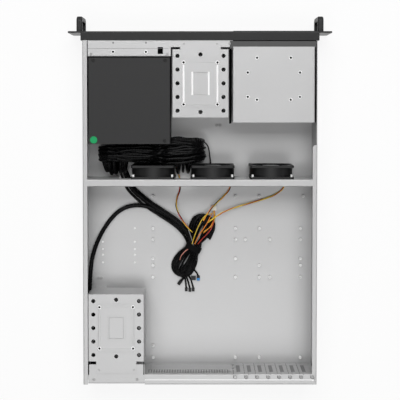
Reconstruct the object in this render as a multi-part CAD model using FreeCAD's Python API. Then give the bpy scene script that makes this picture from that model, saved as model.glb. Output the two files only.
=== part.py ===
import FreeCAD, Part
import math
import os

os.makedirs("parts", exist_ok=True)

# A two-unit, 19-inch rackmount case with its lid off. Millimetres, +Z up, the front panel faces -Y.
# Everything is placed by its distance behind the panel's front face. save() then moves the finished
# solids so that the origin is under the middle of the whole case.

# Driving dimensions
RACK_WIDTH = 482.6  # over the ears
HOLE_SPACING = 465.1  # between the ears' slots, EIA-310
UNIT_PITCH = 76.2  # between the upper and lower slots of a two-unit panel
BODY_HALF = 215.0  # the chassis is 430 wide
TOP = 88.0
DEPTH = 650.0  # panel face to rear edge
PANEL_DEPTH = 16.6
HANDLE_REACH = 28.0
SHEET = 1.2
PANEL_SHEET = 1.5
BEND = 0.8  # inside radius of a fold
EAR_SHEET = 3.0
FLANGE = 8.5

FLOOR = SHEET  # top of the chassis floor
INNER = BODY_HALF - SHEET  # inside face of a side wall
LOW_TOP = TOP - SHEET  # top of a strip that another sheet lies on
FLANGE_EDGE = BODY_HALF - FLANGE  # inner edge of a wall's top flange
RELIEF = SHEET + BEND + 0.4  # notch that clears a fold

# The panel's ears, handles and fittings. A pair is x, z or two limits on one axis.
EAR_SLOT = (10.3, 6.8)
EAR_CORNER = 3.0
EAR_SCREWS_Z = (16.0, 44.0, 72.0)
EAR_SCREW_Y = 10.0
HANDLE_X = (215.9, 226.5)
HANDLE_Z = (9.0, 79.0)
HANDLE_BAR = 8.5
BAY_X = (-209.0, -60.8)
BAY_Z = (2.4, 85.6)
VENT_PITCH = 8.6
VENT_HOLE = 6.8
POWER_AT = (34.0, 66.0)
POWER_RADIUS = 6.5
RESET_AT = (34.0, 48.5)
RESET_RADIUS = 2.2
LIGHT_RADIUS = 1.6
LIGHTS_AT = [(30.0, 38.0), (38.0, 38.0)]
USB_X = 34.0
USB_Z = (16.0, 27.0)
BOARD_AT = 13.2

FLANGE_RIGHT_FROM = 208.0  # the right wall has no top flange in front of this
FAN_WALL_AT = 271.0
FAN_SIZE = 80.0
FAN_DEPTH = 25.0
FAN_BASE = 5.6
FAN_CENTRES = (87.0, -23.5, -132.5)
FAN_BORE = 38.0
FAN_HOLE_PITCH = 71.5
ROTOR_GAP = 0.9
ROTOR_BLADES = 7
FAN_HUB = 17.0
# Passages through the fan wall: x from, x to, height
CABLE_PASSAGES = [
    (127.6, 153.0, 56.0),
    (18.5, 45.5, 62.0),
    (-66.0, -54.0, 5.4),
    (-171.0, -159.0, 5.4),
]

PSU_X = (54.5, 204.5)
PSU_Y = (46.0, 206.0)
PSU_TOP = 86.8
PSU_SHEET = 1.0
PSU_FAN_X = 106.0
PSU_FAN_Z = 44.0
PSU_INLET_X = 176.0
PSU_INLET_Z = 36.0
PSU_SWITCH_Z = 62.0
PSU_COVER_SCREWS = [(195.5, 53.4), (64.0, 53.4), (64.6, 199.8)]
BRACKET_CENTRE = -0.9
BRACKET_FROM = 33.0
BRACKET_WIDTH = 103.7
BRACKET_LENGTH = 124.3
FRONT_NECK = 16.0
REAR_NECK = 22.0
# A bracket's foot: its middle from the bracket's own middle, and its width
FRONT_FOOT = (-34.0, 29.0)
REAR_FOOT = (-38.0, 27.0)
FOOT_LENGTH = 24.0
FOOT_SCREWS = (-3.1, 3.1)
CAGE_X = (-209.9, -59.9)
CAGE_Y = (28.3, 166.5)
REAR_WALL_AT = 631.5
SHELF_TOP = 85.6
REAR_BRACKET_CENTRE = 154.3
REAR_BRACKET_END = 607.0
CAP_X = (102.2, 206.0)
SMALL_DRIVE = (61.72, 76.6)  # hole pattern under a 2.5-inch drive
LARGE_DRIVE = (95.25, 44.45)  # and under a 3.5-inch one
SLOT_PITCH = 20.32
SLOT_FIRST = -79.2
SLOT_COUNT = 7
IO_OPENING = (-66.0, 92.75, 5.3, 49.75)
SOCKET_X = 196.0
SOCKET_Z = 31.0
INLET_CUTOUT = (10.2, 14.0)  # half sizes of the hole for an inlet

# Board mounting: distances from the rear-left hole of a full-size board, in its standard pattern
BOARD_ORIGIN = (89.9, 619.3)
REAR_ROW = 0.0
INSET_ROW = 22.86
MIDDLE_ROW = 154.94
SMALL_ROW_A = 177.8
SMALL_ROW_B = 190.5
FRONT_ROW = 227.33
DEEP_ROW = 248.4
SERVER_ROW = 310.0
BOARD_COLUMNS = {
    0.0: (REAR_ROW, INSET_ROW, MIDDLE_ROW, SMALL_ROW_A, SMALL_ROW_B, FRONT_ROW, DEEP_ROW, SERVER_ROW),
    157.48: (REAR_ROW, MIDDLE_ROW, SMALL_ROW_B, FRONT_ROW, DEEP_ROW, SERVER_ROW),
    176.6: (FRONT_ROW,),
    203.2: (REAR_ROW, MIDDLE_ROW, SMALL_ROW_A, DEEP_ROW, SERVER_ROW),
    223.5: (MIDDLE_ROW, FRONT_ROW),
    281.94: (REAR_ROW, MIDDLE_ROW, SMALL_ROW_A, SMALL_ROW_B, FRONT_ROW, DEEP_ROW),
    286.9: (SERVER_ROW,),
}
STANDOFF_HEIGHT = 6.4

AC_DIAMETER = 8.0
LEAD_DIAMETER = 5.0
WIRE_DIAMETER = 3.2
BUNDLE_BASE = FLOOR + 1.6  # a folded bundle's lowest lead

SHIFT = FreeCAD.Vector(0, -(DEPTH - HANDLE_REACH) / 2, 0)


def vec(x, y, z):
    return FreeCAD.Vector(x, y, z)


def save(node, shape):
    """Write one node's solids, moved to the frame's origin."""
    placed = shape.copy()
    placed.translate(SHIFT)
    placed.exportStep("parts/" + node + ".step")
    print(node, "solids", len(placed.Solids), "volume", round(placed.Volume, 1))


def box(x0, x1, y0, y1, z0, z1):
    return Part.makeBox(x1 - x0, y1 - y0, z1 - z0, vec(x0, y0, z0))


def disc(x, y, z, radius, length, axis=(0, 0, 1)):
    """A cylinder that starts at x, y, z and runs along axis."""
    return Part.makeCylinder(radius, length, vec(x, y, z), vec(*axis))


def fuse(shapes):
    return shapes[0].multiFuse(shapes[1:]).removeSplitter()


def cut(shape, tools):
    return shape.cut(tools).removeSplitter()


def moved(shape, x=0.0, y=0.0, z=0.0):
    copy = shape.copy()
    copy.translate(vec(x, y, z))
    return copy


# Outlines and folded sheet

PLANES = {
    "XZ": lambda u, v, w: vec(u, w, v),
    "YZ": lambda u, v, w: vec(w, u, v),
    "XY": lambda u, v, w: vec(u, v, w),
}


def rounded_edges(points, radii, place, closed):
    """Straight edges and arcs through 2-D points, each corner rounded by its own radius."""
    count = len(points)
    corners = []
    for i, (u, v) in enumerate(points):
        here = vec(u, v, 0)
        if radii[i] <= 0 or (not closed and i in (0, count - 1)):
            corners.append((here, None, here))
            continue
        before = (vec(*points[i - 1], 0) - here).normalize()
        after = (vec(*points[(i + 1) % count], 0) - here).normalize()
        half = before.getAngle(after) / 2
        reach = radii[i] / math.tan(half)
        middle = (before + after).normalize()
        crown = here + middle * (radii[i] / math.sin(half) - radii[i])
        corners.append((here + before * reach, crown, here + after * reach))
    edges = []
    for i in range(count):
        start, crown, end = corners[i]
        if crown is not None:
            edges.append(Part.Arc(place(start), place(crown), place(end)).toShape())
        if i < count - 1 or closed:
            following = corners[(i + 1) % count][0]
            if (following - end).Length > 1e-6:
                edges.append(Part.LineSegment(place(end), place(following)).toShape())
    return edges


def prism(points, plane, start, end, radius=0.0):
    """A closed outline with rounded corners, extruded from start to end across its plane."""
    radii = radius if isinstance(radius, (list, tuple)) else [radius] * len(points)

    def place(p):
        return PLANES[plane](p.x, p.y, start)

    face = Part.Face(Part.Wire(rounded_edges(points, radii, place, True)))
    return face.extrude(PLANES[plane](0, 0, end - start))


def window(u0, u1, v0, v1, plane, start, end, radius=0.0):
    """A rectangle with rounded corners, extruded: for cutting openings and slots."""
    radius = min(radius, (u1 - u0) / 2, (v1 - v0) / 2)
    return prism([(u0, v0), (u1, v0), (u1, v1), (u0, v1)], plane, start, end, radius)


def offset_points(points, distance):
    """The polyline moved sideways to its left by distance, mitred at each corner."""
    normals = []
    for (u0, v0), (u1, v1) in zip(points, points[1:]):
        length = math.hypot(u1 - u0, v1 - v0)
        normals.append((-(v1 - v0) / length, (u1 - u0) / length))
    result = []
    for i, (u, v) in enumerate(points):
        a = normals[max(i - 1, 0)]
        b = normals[min(i, len(normals) - 1)]
        scale = distance / (1 + a[0] * b[0] + a[1] * b[1])
        result.append((u + (a[0] + b[0]) * scale, v + (a[1] + b[1]) * scale))
    return result


def folded_sheet(points, plane, start, end, thickness=SHEET, bend=BEND):
    """Sheet metal folded along an open profile and extruded.

    The points run along one face of the sheet; the metal lies to their left.
    """
    near = [0.0] * len(points)
    far = [0.0] * len(points)
    for i in range(1, len(points) - 1):
        (u0, v0), (u1, v1), (u2, v2) = points[i - 1 : i + 2]
        turn = (u1 - u0) * (v2 - v1) - (v1 - v0) * (u2 - u1)
        near[i] = bend + thickness if turn > 0 else bend
        far[i] = bend if turn > 0 else bend + thickness

    def place(p):
        return PLANES[plane](p.x, p.y, start)

    other = offset_points(points, thickness)
    first = rounded_edges(points, near, place, False)
    second = rounded_edges(other, far, place, False)
    ends = [
        Part.LineSegment(place(vec(*a, 0)), place(vec(*b, 0))).toShape()
        for a, b in ((points[0], other[0]), (points[-1], other[-1]))
    ]
    outline = Part.Wire(Part.__sortEdges__(first + second + ends))
    return Part.Face(outline).extrude(PLANES[plane](0, 0, end - start))


def folded_pan(x0, x1, y0, y1, z0, z1, thickness, bend=BEND):
    """A tray folded from one sheet: a face at y0 and four returns back to y1."""

    def rounded(shape, radius, at):
        edges = [
            edge
            for edge in shape.Edges
            if abs(edge.BoundBox.YMin - at) < 1e-6 and abs(edge.BoundBox.YMax - at) < 1e-6
        ]
        return shape.makeFillet(radius, edges)

    outer = rounded(box(x0, x1, y0, y1, z0, z1), bend + thickness, y0)
    hollow = box(
        x0 + thickness, x1 - thickness, y0 + thickness, y1 + 1, z0 + thickness, z1 - thickness
    )
    return outer.cut(rounded(hollow, bend, y0 + thickness))


def hexagon(u, v, across, plane, start, end):
    """A six-sided perforation, point upwards."""
    reach = across / math.sqrt(3)
    angles = [math.radians(30 + 60 * i) for i in range(6)]
    points = [(u + reach * math.cos(a), v + reach * math.sin(a)) for a in angles]
    return prism(points, plane, start, end)


def hexagon_field(u0, u1, v0, v1, pitch, across, plane, start, end):
    """Staggered rows of hexagons that fill a rectangle."""
    rows = int((v1 - v0) / (pitch * math.sqrt(3) / 2)) + 1
    columns = int((u1 - u0) / pitch)
    return [
        hexagon(
            u0 + pitch * (column + 0.5 + 0.5 * (row % 2)),
            v0 + row * pitch * math.sqrt(3) / 2,
            across,
            plane,
            start,
            end,
        )
        for row in range(rows)
        for column in range(columns - row % 2)
    ]


def pan_screw(x, y, z, radius=2.9, height=1.2):
    """A low round screw head, standing on z with its cross recess."""
    head = disc(x, y, z, radius, height)
    rim = [e for e in head.Edges if e.BoundBox.ZMin > z + 0.5 * height]
    head = head.makeChamfer(height * 0.45, rim)
    arms = [
        box(x - radius * 0.6, x + radius * 0.6, y - 0.35, y + 0.35, z + height * 0.5, z + 5),
        box(x - 0.35, x + 0.35, y - radius * 0.6, y + radius * 0.6, z + height * 0.5, z + 5),
    ]
    return head.cut(arms)


def hexagon_prism(x, y, z0, z1, across):
    return hexagon(x, y, across, "XY", z0, z1)


# The chassis


def chassis_tub():
    """Floor, side walls and top flanges, folded from one sheet."""
    profile = [
        (-FLANGE_EDGE, TOP),
        (-BODY_HALF, TOP),
        (-BODY_HALF, 0),
        (BODY_HALF, 0),
        (BODY_HALF, TOP),
        (FLANGE_EDGE, TOP),
    ]
    tub = folded_sheet(profile, "XZ", PANEL_DEPTH, DEPTH)
    trimmed = box(-BODY_HALF - 1, -FLANGE_EDGE + 1, 0, FLANGE_RIGHT_FROM, TOP - SHEET - BEND, TOP + 1)
    corner = prism(
        [
            (-FLANGE_EDGE + 0.01, FLANGE_RIGHT_FROM - 1),
            (-FLANGE_EDGE + 0.01, FLANGE_RIGHT_FROM + 4),
            (-FLANGE_EDGE - 4, FLANGE_RIGHT_FROM - 1),
        ],
        "XY",
        TOP - SHEET - 0.2,
        TOP + 1,
    )
    notch = box(
        -BODY_HALF + 3.5, -FLANGE_EDGE + 1, REAR_WALL_AT + 0.5, REAR_WALL_AT + 12, TOP - SHEET - 0.2, TOP + 1
    )
    rail_holes = [
        disc(side * (BODY_HALF + 1), y, z, 2.2, 4, (-side, 0, 0))
        for side in (-1, 1)
        for y in (62.0, 222.0, 382.0, 542.0)
        for z in (34.0, 54.0)
    ]
    return cut(tub, [trimmed, corner, notch] + rail_holes)


def corner_reliefs(y0, y1):
    """Small notches that clear the fold between the chassis floor and its walls."""
    reach = BEND + 0.4
    return [
        box(x, x + reach, y0, y1, z, z + reach)
        for x in (-INNER - 0.01, INNER - reach + 0.01)
        for z in (FLOOR - 0.01, LOW_TOP - reach + 0.01)
    ]


def front_bulkhead():
    """The galvanised wall behind the panel, with the strip that the brackets hang from."""
    wall = box(-INNER, INNER, PANEL_DEPTH, PANEL_DEPTH + SHEET, FLOOR, LOW_TOP)
    front = PANEL_DEPTH

    def section(x0, x1, reach):
        pts = [(front, FLOOR), (front, LOW_TOP), (reach, LOW_TOP)]
        return folded_sheet([(v, w) for v, w in reversed(pts)], "YZ", x0, x1)

    strips = [section(-59.6, 53.5, 28.9), section(53.5, 205.0, 31.6)]
    foot = folded_sheet(
        [(front, LOW_TOP - 10), (front, FLOOR), (front + 12, FLOOR)], "YZ", -48.0, 205.0
    )
    wall = fuse([wall] + strips + [foot])
    openings = [
        window(66.0, 193.0, 10.0, 76.0, "XZ", front - 1, front + 2, 5),
        window(-208.7, -61.1, 3.0, LOW_TOP + 1, "XZ", front - 1, front + 2, 2),
        window(-40.0, 44.0, 12.0, 74.0, "XZ", front - 1, front + 2, 5),
        window(67.5, 77.4, 29.0, 40.0, "XY", LOW_TOP - 3, LOW_TOP + 2, 0.5),
    ]
    dimples = [disc(x, 21.7, LOW_TOP - 0.5, 1.7, 1) for x in (158.2, 98.4)]
    return cut(wall, openings + dimples + corner_reliefs(front - 1, front + 15))


def front_panel():
    """The black front: one folded pan with its vents and openings."""
    pan = folded_pan(-BODY_HALF, BODY_HALF, 0, PANEL_DEPTH, 0, TOP, PANEL_SHEET)
    through = (-1, PANEL_SHEET + 1)
    tools = [window(BAY_X[0], BAY_X[1], BAY_Z[0], BAY_Z[1], "XZ", *through, 1.0)]
    tools += hexagon_field(66.0, 194.0, 10.0, 78.0, 8.6, 6.8, "XZ", *through)
    tools += hexagon_field(-46.0, 12.0, 12.0, 76.0, 8.6, 6.8, "XZ", *through)
    tools.append(disc(POWER_AT[0], -1, POWER_AT[1], POWER_RADIUS + 0.3, 4, (0, 1, 0)))
    tools.append(disc(RESET_AT[0], -1, RESET_AT[1], RESET_RADIUS + 0.3, 4, (0, 1, 0)))
    for x, z in LIGHTS_AT:
        tools.append(disc(x, -1, z, LIGHT_RADIUS, 4, (0, 1, 0)))
    for z in USB_Z:
        tools.append(
            window(USB_X - 6.8, USB_X + 6.8, z - 3.1, z + 3.1, "XZ", *through, 0.4)
        )
    return pan.cut(tools)


def ear_sinks(side):
    """The countersunk seats in an ear's flange, which its screws fill."""
    seat = side * (BODY_HALF + EAR_SHEET - 1.6)
    return [
        Part.makeCone(1.2, 2.7, 1.6, vec(seat, EAR_SCREW_Y, z), vec(side, 0, 0)) for z in EAR_SCREWS_Z
    ]


def rack_ear(side):
    """An L-shaped rack ear: rounded outer corners, two slots and a flange along the panel's side."""
    outer = RACK_WIDTH / 2
    profile = [(outer, 0), (BODY_HALF, 0), (BODY_HALF, PANEL_DEPTH)]
    ordered = profile if side < 0 else profile[::-1]
    plate = folded_sheet([(side * x, y) for x, y in ordered], "XY", 0, TOP, EAR_SHEET, 1.0)
    keep = prism(
        [(0, 0), (side * outer, 0), (side * outer, TOP), (0, TOP)],
        "XZ", -1, PANEL_DEPTH + 1, [0, EAR_CORNER, EAR_CORNER, 0],
    )
    length, height = EAR_SLOT
    centre = side * HOLE_SPACING / 2
    slots = []
    for z in (TOP / 2 - UNIT_PITCH / 2, TOP / 2 + UNIT_PITCH / 2):
        slots.append(
            window(
                centre - length / 2, centre + length / 2, z - height / 2, z + height / 2,
                "XZ", -1, EAR_SHEET + 1, height / 2 - 0.001,
            )
        )
    return plate.common(keep).cut(slots + ear_sinks(side))


def handle(side):
    """A bow handle with a rounded grip that stands in front of its ear."""
    x0, x1 = sorted((side * HANDLE_X[0], side * HANDLE_X[1]))
    z0, z1 = HANDLE_Z
    bow = prism(
        [(0, z0), (-HANDLE_REACH, z0), (-HANDLE_REACH, z1), (0, z1)], "YZ", x0, x1, [0, 9, 9, 0]
    )
    gap = prism(
        [
            (1, z0 + HANDLE_BAR),
            (-HANDLE_REACH + HANDLE_BAR, z0 + HANDLE_BAR),
            (-HANDLE_REACH + HANDLE_BAR, z1 - HANDLE_BAR),
            (1, z1 - HANDLE_BAR),
        ],
        "YZ",
        x0 - 1,
        x1 + 1,
        [0, 5, 5, 0],
    )
    bow = bow.cut(gap)
    long_edges = [
        edge
        for edge in bow.Edges
        if edge.BoundBox.XLength < 1e-6 and edge.BoundBox.YMin < -0.5
    ]
    return bow.makeFillet(2.4, long_edges)


# What is fitted to the panel


def bay_cover(level):
    """A moulded cover for one 5.25-inch bay, with its two spring arms."""
    height = (BAY_Z[1] - BAY_Z[0]) / 2
    z0 = BAY_Z[0] + level * height + 0.15
    z1 = z0 + height - 0.3
    x0, x1 = BAY_X[0] + 0.2, BAY_X[1] - 0.2
    plate = window(x0, x1, z0, z1, "XZ", -0.8, 2.2, 1.2)
    plate = plate.makeFillet(
        0.7, [e for e in plate.Edges if abs(e.BoundBox.YMax + 0.8) < 1e-6]
    )
    relief = window(x0 + 5, x1 - 5, z0 + 5, z1 - 5, "XZ", -0.9, -0.2, 1.5)
    arms = []
    for x, inward in ((x0 + 0.6, 1), (x1 - 0.6, -1)):
        arms.append(
            folded_sheet(
                sorted([(x, 2.0), (x, 24.0)], reverse=inward > 0),
                "XY",
                z0 + 12,
                z1 - 12,
                1.8,
            )
        )
    ribs = [box(x0 + 4, x1 - 4, 2.0, 4.0, z, z + 1.6) for z in (z0 + 1.5, z1 - 3.1)]
    return fuse([plate.cut(relief)] + arms + ribs)


def push_button(at, radius):
    """A cap with its flange behind the panel and the stem that meets the switch."""
    x, z = at
    cap = disc(x, -1.2, z, radius, 3.0, (0, 1, 0))
    cap = cap.makeFillet(0.5, [e for e in cap.Edges if abs(e.BoundBox.YMax + 1.2) < 1e-6])
    collar = disc(x, PANEL_SHEET + 0.3, z, radius + 1.4, 1.4, (0, 1, 0))
    stem = disc(x, 2.0, z, 1.5, 4.0, (0, 1, 0))
    dish = disc(x, -1.3, z, max(radius - 1.6, 0.8), 0.4, (0, 1, 0))
    return fuse([cap, collar, stem]).cut(dish)


def control_board():
    """The small board behind the panel, with the two switch bodies and the legs of the lights."""
    board = box(18.0, 50.0, BOARD_AT, BOARD_AT + 1.6, 12.0, 76.0)
    parts = [board]
    for x, z in (POWER_AT, RESET_AT):
        parts.append(box(x - 3, x + 3, 9.6, BOARD_AT, z - 3, z + 3))
        parts.append(disc(x, 8.4, z, 1.6, 1.4, (0, 1, 0)))
    for z in (20.0, 58.0):
        parts.append(disc(22.0, PANEL_SHEET, z, 2.0, BOARD_AT - PANEL_SHEET, (0, 1, 0)))
    return fuse(parts)


def status_lights():
    """Two small lenses, each a dome on a rod that reaches the board."""
    lights = []
    for x, z in LIGHTS_AT:
        rod = disc(x, -0.6, z, LIGHT_RADIUS, BOARD_AT + 0.6, (0, 1, 0))
        lights.append(rod.makeFillet(0.6, [e for e in rod.Edges if abs(e.BoundBox.YMax + 0.6) < 1e-6]))
    return Part.makeCompound(lights)


def usb_sockets():
    """Two type-A shells with their tongues, on the board."""
    sockets = []
    for z in USB_Z:
        shell = window(USB_X - 6.6, USB_X + 6.6, z - 2.9, z + 2.9, "XZ", 0, BOARD_AT, 0.5)
        hollow = window(USB_X - 6.2, USB_X + 6.2, z - 2.5, z + 2.5, "XZ", -1, BOARD_AT - 1.0, 0.3)
        tongue = box(USB_X - 5.6, USB_X + 5.6, 0.8, BOARD_AT - 0.5, z + 0.2, z + 2.0)
        sockets.append(fuse([shell.cut(hollow), tongue]))
    return Part.makeCompound(sockets)


# Fans


def fan_frame():
    """A square 80 mm frame about its own centre: two flanges, the shroud, struts and motor seat."""
    half = FAN_SIZE / 2
    flange = 4.0
    plates = [
        window(-half, half, -half, half, "XZ", y, y + flange, 3.5)
        for y in (0, FAN_DEPTH - flange)
    ]
    shroud = disc(0, 0, 0, half, FAN_DEPTH, (0, 1, 0))
    body = fuse(plates + [shroud])
    bore = disc(0, -1, 0, FAN_BORE, FAN_DEPTH + 2, (0, 1, 0))
    lead_in = Part.makeCone(FAN_BORE + 1.6, FAN_BORE, 2.0, vec(0, -0.001, 0), vec(0, 1, 0))
    body = body.cut([bore, lead_in])
    strut_at = FAN_DEPTH - 3.4
    strut = prism([(14, -1.6), (39, 1.4), (39, 4.6), (14, 1.6)], "XZ", strut_at, FAN_DEPTH - 0.6)
    spokes = []
    for i in range(4):
        spoke = strut.copy()
        spoke.rotate(vec(0, 0, 0), vec(0, 1, 0), 45 + 90 * i)
        spokes.append(spoke)
    seat = disc(0, strut_at, 0, 18.0, 3.4, (0, 1, 0))
    boss = disc(0, FAN_DEPTH - 13.0, 0, 5.0, 12.0, (0, 1, 0))
    body = fuse([body, seat, boss] + spokes)
    bearing = disc(0, FAN_DEPTH - 13.5, 0, 1.55, 12.0, (0, 1, 0))
    reach = FAN_HOLE_PITCH / 2
    holes = [
        disc(x, -1, z, 2.2, FAN_DEPTH + 2, (0, 1, 0)) for x in (-reach, reach) for z in (-reach, reach)
    ]
    return cut(body, [bearing] + holes)


def fan_rotor():
    """Hub cup, shaft and twisted blades."""
    front = 1.4
    back = FAN_DEPTH - 3.4 - ROTOR_GAP
    hub = disc(0, front, 0, FAN_HUB, back - front, (0, 1, 0))
    hub = hub.makeFillet(2.0, [e for e in hub.Edges if abs(e.BoundBox.YMax - front) < 1e-6])
    hub = hub.cut(disc(0, front + 1.8, 0, FAN_HUB - 1.6, 30, (0, 1, 0)))
    shaft = disc(0, front + 1, 0, 1.5, FAN_DEPTH - 4.0 - front - 1, (0, 1, 0))
    middle = (front + 1.0 + back) / 2

    def section(radius, chord, pitch, sweep):
        points = []
        for along, across in ((-1, -1), (1, -1), (1, 1), (-1, 1)):
            a = along * chord / 2
            c = across * 0.65
            tangent = a * math.cos(pitch) - c * math.sin(pitch)
            depth = a * math.sin(pitch) + c * math.cos(pitch)
            points.append(vec(radius, middle + depth, tangent + sweep))
        points.append(points[0])
        return Part.makePolygon(points)

    stations = [(16.0, 15.0, 0.85, 0.0), (26.0, 21.0, 0.66, 1.0), (36.6, 27.0, 0.50, 2.6)]
    blade = Part.makeLoft([section(*s) for s in stations], True, True)
    blade = blade.common(disc(0, front, 0, 36.9, back - front, (0, 1, 0)))
    solids = [hub, shaft]
    for i in range(ROTOR_BLADES):
        copy = blade.copy()
        copy.rotate(vec(0, 0, 0), vec(0, 1, 0), 360.0 * i / ROTOR_BLADES)
        solids.append(copy)
    return fuse(solids)


def fan_wall():
    """The cross beam: a folded wall with round fan openings, cable passages and a top rail."""
    at = FAN_WALL_AT
    profile = [
        (at + 13.3, TOP - 8),
        (at + 13.3, TOP),
        (at, TOP),
        (at, FLOOR),
        (at + 12, FLOOR),
    ]
    wall = folded_sheet(profile, "YZ", -INNER, INNER)
    tools = []
    for side in (-1, 1):
        x0, x1 = sorted((side * FLANGE_EDGE, side * (INNER + 1)))
        tools.append(box(x0, x1, at - 1, at + 20, TOP - RELIEF, TOP + 1))
        tools.append(box(x0 - 0.01, x1 + 0.01, at + 4, at + 20, TOP - 12, TOP + 1))
    centre_z = FAN_BASE + FAN_SIZE / 2
    reach = FAN_HOLE_PITCH / 2
    for x in FAN_CENTRES:
        tools.append(disc(x, at - 1, centre_z, FAN_BORE, 4, (0, 1, 0)))
        for dx in (-reach, reach):
            for dz in (-reach, reach):
                tools.append(disc(x + dx, at - 1, centre_z + dz, 1.9, 4, (0, 1, 0)))
    for x0, x1, height in CABLE_PASSAGES:
        passage = [(x0, FLOOR - 1), (x1, FLOOR - 1), (x1, height), (x0, height)]
        round_off = min(5.0, (x1 - x0) / 2 - 0.01, height / 2)
        tools.append(prism(passage, "XZ", at - 1, at + 20, [0, 0, round_off, round_off]))
    return cut(wall, tools + corner_reliefs(at - 1, at + 15))


def fan_screws():
    """Four screws a fan, put in from behind through the wall into the frame's rear flange."""
    screws = []
    reach = FAN_HOLE_PITCH / 2
    for x in FAN_CENTRES:
        for dx in (-reach, reach):
            for dz in (-reach, reach):
                z = FAN_BASE + FAN_SIZE / 2 + dz
                head = disc(x + dx, FAN_WALL_AT + SHEET, z, 3.6, 1.8, (0, 1, 0))
                rim = [e for e in head.Edges if e.BoundBox.YMin > FAN_WALL_AT + SHEET + 1]
                head = head.makeChamfer(0.8, rim)
                shank = disc(x + dx, FAN_WALL_AT - 8.5, z, 1.85, 8.5 + SHEET + 0.5, (0, 1, 0))
                screws.append(fuse([head, shank]))
    return Part.makeCompound(screws)


# Power supply


def psu_case():
    """The lower shell: rear face, floor and front face, folded from one sheet."""
    x0, x1 = PSU_X[0] + PSU_SHEET, PSU_X[1] - PSU_SHEET
    y0, y1 = PSU_Y
    rim = PSU_TOP - PSU_SHEET - BEND - 0.2
    profile = [(y1, rim), (y1, FLOOR), (y0, FLOOR), (y0, rim)]
    shell = folded_sheet(profile[::-1], "YZ", x0, x1, PSU_SHEET)
    tools = [
        disc(PSU_FAN_X, y0 - 1, PSU_FAN_Z, FAN_BORE - 0.5, 3, (0, 1, 0)),
        window(
            PSU_INLET_X - 10.2, PSU_INLET_X + 10.2, PSU_INLET_Z - 14, PSU_INLET_Z + 14,
            "XZ", y0 - 1, y0 + 2, 3,
        ),
        window(
            PSU_INLET_X - 6.6, PSU_INLET_X + 6.6, PSU_SWITCH_Z - 6.5, PSU_SWITCH_Z + 6.5,
            "XZ", y0 - 1, y0 + 2, 0.5,
        ),
        window(72.0, 112.0, 20.0, 46.0, "XZ", y1 - 2, y1 + 1, 4),
    ]
    for row in range(3):
        for column in range(7):
            u = 122.0 + column * 11.0
            v = 16.0 + row * 22.0
            tools.append(window(u, u + 6, v, v + 16, "XZ", y1 - 2, y1 + 1, 3))
    return shell.cut(tools)


def psu_cover():
    """The upper shell: top and two sides, folded down over the case."""
    x0, x1 = PSU_X
    y0, y1 = PSU_Y
    profile = [(x1, FLOOR), (x1, PSU_TOP), (x0, PSU_TOP), (x0, FLOOR)]
    shell = folded_sheet(profile, "XZ", y0, y1, PSU_SHEET)
    notches = [
        disc(x, y, PSU_TOP - 0.4, 3.4, 1)
        for x, y in PSU_COVER_SCREWS
    ]
    return shell.cut(notches)


def black_screws():
    """The supply's cover and mounting screws, and the countersunk ones that hold the ears."""
    screws = ear_sinks(-1) + ear_sinks(1)
    screws += [pan_screw(x, y, PSU_TOP - 0.4, 3.0, 1.3) for x, y in PSU_COVER_SCREWS]
    front = PSU_Y[0] - SHEET
    for x, z in psu_mount_holes():
        head = disc(x, front - 2.0, z, 3.4, 2.0, (0, 1, 0))
        head = head.makeChamfer(0.9, [e for e in head.Edges if e.BoundBox.YMax < front - 1.5])
        screws.append(head)
    return Part.makeCompound(screws)


def psu_mount_holes():
    """The front face's four screws, as x, z."""
    left, low = PSU_X[0], FLOOR
    return [
        (left + 6, low + 80),
        (left + 144, low + 80),
        (left + 6, low + 16),
        (left + 144, low + 16),
    ]


def psu_bracket():
    """The folded plate that the supply's front face is screwed to."""
    y0 = PSU_Y[0] - SHEET
    profile = [
        (31.6, LOW_TOP),
        (y0 + SHEET, LOW_TOP),
        (y0 + SHEET, FLOOR),
        (y0 - 12, FLOOR),
    ]
    plate = folded_sheet(profile[::-1], "YZ", 53.5, 205.0)
    tools = [
        window(68.0, 190.0, 8.0, 78.0, "XZ", y0 - 1, y0 + 2, 6),
        window(67.5, 77.4, 20.0, 41.6, "XY", LOW_TOP - 3, LOW_TOP + 2, 0.5),
        disc(159.2, 37.5, LOW_TOP - 3, 1.5, 5),
        disc(98.6, 37.5, LOW_TOP - 3, 1.5, 5),
    ]
    return cut(plate, tools)


def psu_inlet():
    """The supply's inlet and, in the same moulding, the frame of its main switch."""
    inlet = inlet_socket(PSU_INLET_X, PSU_Y[0], PSU_INLET_Z, 1)
    x, y = PSU_INLET_X, PSU_Y[0]
    z = PSU_SWITCH_Z
    rim = window(x - 8.0, x + 8.0, PSU_INLET_Z + 15.0, z + 7.2, "XZ", y - 1.8, y, 1.0)
    body = window(x - 6.4, x + 6.4, z - 6.2, z + 6.2, "XZ", y, y + 12.0, 0.5)
    hollow = box(x - 5.1, x + 5.1, y - 3, y + 9.0, z - 5.6, z + 5.6)
    return fuse([inlet, rim, body]).cut(hollow)


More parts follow.
